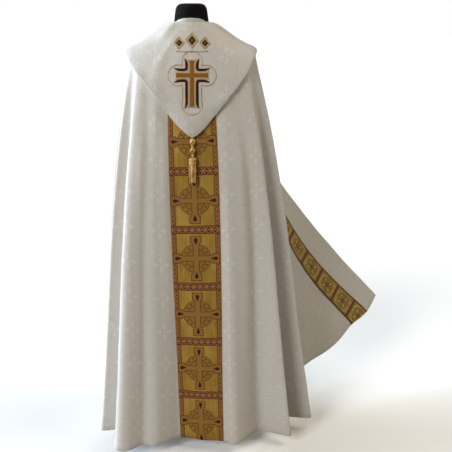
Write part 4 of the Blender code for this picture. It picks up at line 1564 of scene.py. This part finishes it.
def tube(bm, points, radius, sides, closed=False):
    """Adds a tube round a line of points to a mesh."""
    rings = []
    turns = [2.0 * math.pi * k / sides for k in range(sides)]
    sizes = radius if isinstance(radius, list) else [radius] * len(points)
    side = way_at(points, 0, closed).orthogonal().normalized()
    for i, (point, size) in enumerate(zip(points, sizes)):
        way = way_at(points, i, closed)
        side = (side - way * side.dot(way)).normalized()
        other = way.cross(side)
        ring = [point + size * (math.cos(t) * side + math.sin(t) * other) for t in turns]
        rings.append([bm.verts.new(spot) for spot in ring])
    if closed:
        first, last = rings[0], rings[-1]
        gaps = [(last[0].co - v.co).length for v in first]
        shift = gaps.index(min(gaps))
        rings.append(first[shift:] + first[:shift])
    bridge(bm, rings, caps=not closed)


def mesh_object(bm, name, finish):
    """Closes a mesh in code and hands over the piece."""
    obj = new_object(name, mesh_from(bm, name), [finish])
    return obj


def rope(points, radius, strands, lay, name, finish):
    """A twisted cord of several strands round a line of points."""
    bm = bmesh.new()
    run = 0.0
    frames = []
    side = Vector((1.0, 0.0, 0.0))
    for i, point in enumerate(points):
        run += (point - points[i - 1]).length if i else 0.0
        way = way_at(points, i)
        side = (side - way * side.dot(way)).normalized()
        frames.append((point, run, side, way.cross(side)))
    strand = STRAND_SHARE * radius
    for s in range(strands):
        line = []
        for point, run, across, other in frames:
            t = 2.0 * math.pi * (s / strands + run / lay)
            line.append(point + strand * (math.cos(t) * across + math.sin(t) * other))
        tube(bm, line, strand, 8)
    return mesh_object(bm, name, finish)


def knot_line(centre, down, out, radius, tall):
    """The closed line of a woven ball knot round an upright axis."""
    across = down.cross(out).normalized()
    line = []
    for i in range(KNOT_POINTS):
        t = 2.0 * math.pi * i / KNOT_POINTS
        swing = math.cos(KNOT_BIGHTS * t)
        reach = radius * (1.0 + 0.10 * math.sin(2.0 * KNOT_BIGHTS * t)) * (1.0 - 0.36 * swing ** 2)
        around = math.cos(KNOT_LEADS * t) * across + math.sin(KNOT_LEADS * t) * out
        line.append(centre + reach * around + down * tall * 0.5 * swing)
    return line


def build_cord():
    """The cord from the hood's point to the tassel, with its two knots."""
    tip, down, out = hanging_line()
    points = []
    for i in range(CORD_POINTS):
        below = CORD_START + CORD_RUN * i / (CORD_POINTS - 1)
        points.append(tip + down * below + out * float(np.interp(below, *zip(*CORD_STANDS))))
    points = softened(points, 4)
    cord = rope(points, CORD_RADIUS, 3, 0.0150, "tassel_cord_twisted", GOLD_CORD)
    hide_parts("tassel_cord")
    knots = []
    for name, below, radius, tall in (
        ("upper", 0.0135, 0.0072, 0.0150),
        ("lower", 0.0430, 0.0080, 0.0120),
    ):
        centre = tip + down * below + out * TASSEL_STAND
        bm = bmesh.new()
        tube(bm, knot_line(centre, down, out, radius, tall), KNOT_CORD_RADIUS, 8, closed=True)
        knots.append(mesh_object(bm, "tassel_knot_" + name, GOLD_CORD))
    return cord, knots, points


def tassel_profile(share):
    """The tassel's radius and distance below its top, along one of its threads."""
    shares, radii, belows = zip(*TASSEL_OUTLINE)
    return float(np.interp(share, shares, radii)), float(np.interp(share, shares, belows))


def build_tassel():
    """A head of threads over a mould, a wrapped neck and a skirt of hanging threads, with a dark core
    inside as painted shade among them.
    """
    tip, down, out = hanging_line()
    across = down.cross(out).normalized()
    top = tip + down * TASSEL_BELOW + out * TASSEL_STAND

    def spot(t, below, radius):
        return top + down * below + radius * (math.cos(t) * across + math.sin(t) * out)

    bm = bmesh.new()
    for n in range(TASSEL_THREADS):
        turn = 2.0 * math.pi * n / TASSEL_THREADS
        phase = TASSEL_CLUMPS * turn + 0.8 * math.sin(2.0 * turn) + 0.5
        parting = (0.5 + 0.5 * math.cos(phase)) ** 3
        sway = 0.04 * math.sin(n * 2.4) + 0.03 * math.sin(n * 5.1)
        short = 0.0028 * (0.5 + 0.5 * math.sin(n * 7.7))
        loose = 0.0004 * math.sin(n * 3.3)
        line, sizes = [], []
        for k in range(THREAD_STEPS + 1):
            share = k / THREAD_STEPS
            radius, below = tassel_profile(share)
            late, soon = max(0.0, share - 0.3) / 0.7, min(1.0, share / 0.4)
            radius += loose * late - GROOVE_DEPTH * parting * soon
            t = turn + sway * late + 0.055 * math.sin(phase) * soon
            line.append(spot(t, below - short * late, radius - 0.0007))
            sizes.append(0.00030 + 0.00055 * min(1.0, share / 0.10))
        tube(bm, line, sizes, 6)
    skirt = mesh_object(bm, "tassel_threads", GOLD_CORD)
    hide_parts("tassel")
    bm = bmesh.new()
    # A dark core inside the threads, as painted shade deep among them
    line = [tassel_profile(k / CORE_STEPS) for k in range(CORE_STEPS + 1)]
    points = [top + down * (below * 0.97 + 0.0006) for radius, below in line]
    tube(bm, points, [max(0.0012, radius - CORE_INSET) for radius, below in line], 20)
    core = mesh_object(bm, "tassel_core", CORE_PAINTED_SHADE)
    bm = bmesh.new()
    line = []
    for i in range(BINDING_TURNS * BINDING_STEPS + 1):
        turns = i / BINDING_STEPS
        line.append(spot(2.0 * math.pi * turns, 0.0152 + BINDING_PITCH * turns, 0.0118))
    tube(bm, line, 0.0008, 6)
    binding = mesh_object(bm, "tassel_binding", GOLD_CORD)
    return [skirt, core, binding]


# The dress form

FORM_TURN_STEP = 3.0
FORM_ROWS = 10
# The place of the form's left side in each of its rings
FORM_SIDE = 30
FOOT_RIM = 0.012
FOOT_HUB = 0.040
POLE_LOWER = 0.30


def torso_point(turn, section):
    """A point of the dress form's outline at one of its sections."""
    angle = math.radians(turn)
    depth = section.back if math.sin(angle) > 0 else section.front
    exponent = 2.0 / TORSO_SQUARENESS
    return Vector((
        section.half_width * power(math.cos(angle), exponent),
        depth * power(math.sin(angle), exponent),
        section.height,
    ))


def build_form():
    """The padded form under its stretched black cover, from the neck cap to the hips."""
    turns = [-90.0 + FORM_TURN_STEP * k for k in range(round(360.0 / FORM_TURN_STEP))]
    rings = []
    caps, sections = np.array(NECK_CAP), np.array(TORSO)
    for k in np.linspace(0.0, len(NECK_CAP) - 1.0, 22):
        radius, below = spline(caps, float(k))
        ring = []
        for turn in turns:
            way = neck_point(turn, 0.0)
            way.z = 0.0
            spot = way.normalized() * radius
            spot.z = FORM_TOP - below
            ring.append(spot)
        rings.append(ring)
    rows = row_shares(FORM_ROWS, FORM_ROWS, 1)[:2 * FORM_ROWS] + [("corner", 1.0)]
    for row in rows:
        rings.append([
            path_point(*row, turn, torso_point(turn, TORSO[0]), 0.0, 0.0) for turn in turns
        ])
    for k in np.linspace(0.0, len(TORSO) - 1.0, 26):
        section = Section(*spline(sections, float(k)))
        rings.append([torso_point(turn, section) for turn in turns])
    bm = bmesh.new()
    loops, covers = [], []
    drop = 0.0
    for n, ring in enumerate(rings):
        drop += (ring[FORM_SIDE] - rings[n - 1][FORM_SIDE]).length if n else 0.0
        around = 0.0
        for i, spot in enumerate(ring):
            around += (spot - ring[i - 1]).length if i else 0.0
            covers.append((around, -drop))
        loops.append([bm.verts.new(spot) for spot in ring])
    bridge(bm, loops, caps=False)
    for loop in (loops[0], loops[-1]):
        middle = bm.verts.new(sum((v.co for v in loop), Vector()) / len(loop))
        covers.append((0.0, 0.0))
        for i in range(len(loop)):
            bm.faces.new((loop[i - 1], loop[i], middle))
    obj = new_object("form_cover", mesh_from(bm, "form_cover", {"cover": covers}), [JERSEY])
    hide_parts("form_body")
    return obj


def deselect():
    """Leaves nothing selected."""
    bpy.ops.object.select_all(action="DESELECT")


def select_faces(obj, wanted):
    """Selects the faces of an edited mesh that a test picks by their middle and normal."""
    bm = bmesh.from_edit_mesh(obj.data)
    for face in bm.faces:
        face.select_set(wanted(face.calc_center_median(), face.normal))
    bm.select_flush_mode()
    bmesh.update_edit_mesh(obj.data)


def finish_hard_piece(obj, name, node, width):
    """Bevels a hard piece, keeps its place in its mesh and hides the node it stands for."""
    bevel = obj.modifiers.new("rounded edges", "BEVEL")
    bevel.width = width
    bevel.segments = 3
    bevel.limit_method = "ANGLE"
    bpy.ops.object.modifier_apply(modifier=bevel.name)
    bpy.ops.object.transform_apply(location=True, rotation=True, scale=True)
    bpy.ops.object.shade_smooth_by_angle(angle=math.radians(35))
    obj.name = name
    obj.data.name = name
    obj.data.materials.append(POWDER_COAT)
    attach(obj, "root")
    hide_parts(node)
    return obj


def build_foot():
    """The round foot: a flat disc with a raised hub for the pole."""
    low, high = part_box("form_foot")
    radius, thick = (high[0] - low[0]) / 2.0, high[2] - low[2]
    deselect()
    bpy.ops.mesh.primitive_cylinder_add(
        vertices=96, radius=radius, depth=thick, location=(0, 0, thick / 2)
    )
    foot = bpy.context.object
    bpy.ops.object.mode_set(mode="EDIT")
    select_faces(foot, lambda middle, normal: normal.z > 0.9)
    insets = ((FOOT_RIM, 0.0), (radius - FOOT_RIM - FOOT_HUB, 0.0), (0.004, -0.0015), (0.010, 0.0))
    for inset, depth in insets:
        bpy.ops.mesh.inset(thickness=inset, depth=depth)
    bpy.ops.object.mode_set(mode="OBJECT")
    return finish_hard_piece(foot, "stand_foot", "form_foot", 0.003)


def build_pole():
    """The pole, with a sleeve and a ring where it slides into its lower tube."""
    low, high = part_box("form_pole")
    radius = (high[0] - low[0]) / 2.0
    deselect()
    bpy.ops.mesh.primitive_cylinder_add(
        vertices=48, radius=radius, depth=POLE_LOWER, location=(0, 0, low[2] + POLE_LOWER / 2)
    )
    pole = bpy.context.object
    bpy.ops.object.mode_set(mode="EDIT")
    select_faces(pole, lambda middle, normal: normal.z > 0.9)
    collars = ((0.002, 1.22), (0.024, 1.0), (0.002, 0.82), (0.0005, 0.78))
    for rise, scale in collars:
        bpy.ops.mesh.extrude_region_move(TRANSFORM_OT_translate={"value": (0, 0, rise)})
        bpy.ops.transform.resize(value=(scale, scale, 1.0))
    rest = high[2] - low[2] - POLE_LOWER - sum(rise for rise, scale in collars)
    bpy.ops.mesh.extrude_region_move(TRANSFORM_OT_translate={"value": (0, 0, rest)})
    bpy.ops.object.mode_set(mode="OBJECT")
    return finish_hard_piece(pole, "stand_pole", "form_pole", 0.0008)


# Studio

SENSOR = 36.0
LENS_PIXELS = 802.0
PICTURE_PIXELS = 452.0
CAMERA_PLACE = (-0.117, 2.8, 1.56)
CAMERA_TILT = 16.07


def build_studio():
    """The pale floor, the soft lights and the camera."""
    deselect()
    bpy.ops.mesh.primitive_plane_add(size=60.0, location=(0.0, 0.0, 0.0))
    floor = bpy.context.object
    floor.name = "studio_floor"
    floor.data.materials.append(floor_finish())
    scene = bpy.context.scene
    world = bpy.data.worlds.new("pale studio")
    world.use_nodes = True
    tree = world.node_tree
    soft = tree.nodes["Background"]
    soft.inputs["Color"].default_value = (1.0, 0.93, 0.80, 1.0)
    soft.inputs["Strength"].default_value = 0.02
    seen = tree.nodes.new("ShaderNodeBackground")
    seen.inputs["Color"].default_value = (1.0, 1.0, 1.0, 1.0)
    seen_apart(tree, soft, seen, "World Output")
    scene.world = world
    lights = (
        ("window light", 5.4, 34.0, (0.945, -0.200, 0.259), (0.750, 0.875, 1.0)),
        ("key light", 1.78, 26.0, (0.521, 0.692, 0.500), (1.0, 0.97, 0.92)),
        ("side light", 1.40, 40.0, (-0.643, 0.0, 0.766), (1.0, 0.91, 0.72)),
        ("front light", 0.8, 40.0, (0.10, -0.80, 0.58), (1.0, 0.98, 0.95)),
    )
    for name, energy, spread, way, tint in lights:
        lamp = bpy.data.lights.new(name, "SUN")
        lamp.energy = energy
        lamp.angle = math.radians(spread)
        lamp.color = tint
        obj = bpy.data.objects.new(name, lamp)
        obj.rotation_mode = "QUATERNION"
        obj.rotation_quaternion = Vector(way).to_track_quat("Z", "Y")
        scene.collection.objects.link(obj)
    camera = bpy.data.objects.new("camera", bpy.data.cameras.new("camera"))
    camera.data.sensor_width = SENSOR
    camera.data.lens = LENS_PIXELS / PICTURE_PIXELS * SENSOR
    camera.location = CAMERA_PLACE
    tilt = math.radians(CAMERA_TILT)
    look = Vector((0.0, -math.cos(tilt), -math.sin(tilt)))
    camera.rotation_mode = "QUATERNION"
    camera.rotation_quaternion = look.to_track_quat("-Z", "Y")
    scene.collection.objects.link(camera)
    scene.camera = camera
    scene.view_settings.view_transform = "Standard"


def main():
    """Builds every piece, then the studio."""
    deselect()
    left, right = build_cope()
    back, left_band, right_band = (
        build_band(node + "_woven", node, first, last, half_width, finish)
        for node, first, last, half_width, finish in (
            ("back_band", "back band, left", "back band, right", 0.080, WIDE_GOLD),
            ("left_front_band", "left band, outer", "left band, inner", 0.050, NARROW_GOLD),
            ("right_front_band", "right band, inner", "right band, outer", 0.050, NARROW_GOLD),
        )
    )
    hood = build_hood()
    collar = build_collar()
    tab = build_closure()
    face = HoodFace(hood)
    build_cross(face)
    build_emblem_frame(face)
    cord, knots, points = build_cord()
    tassel = build_tassel()
    build_form()
    build_foot()
    build_pole()
    knots + tassel
    build_studio()


main()
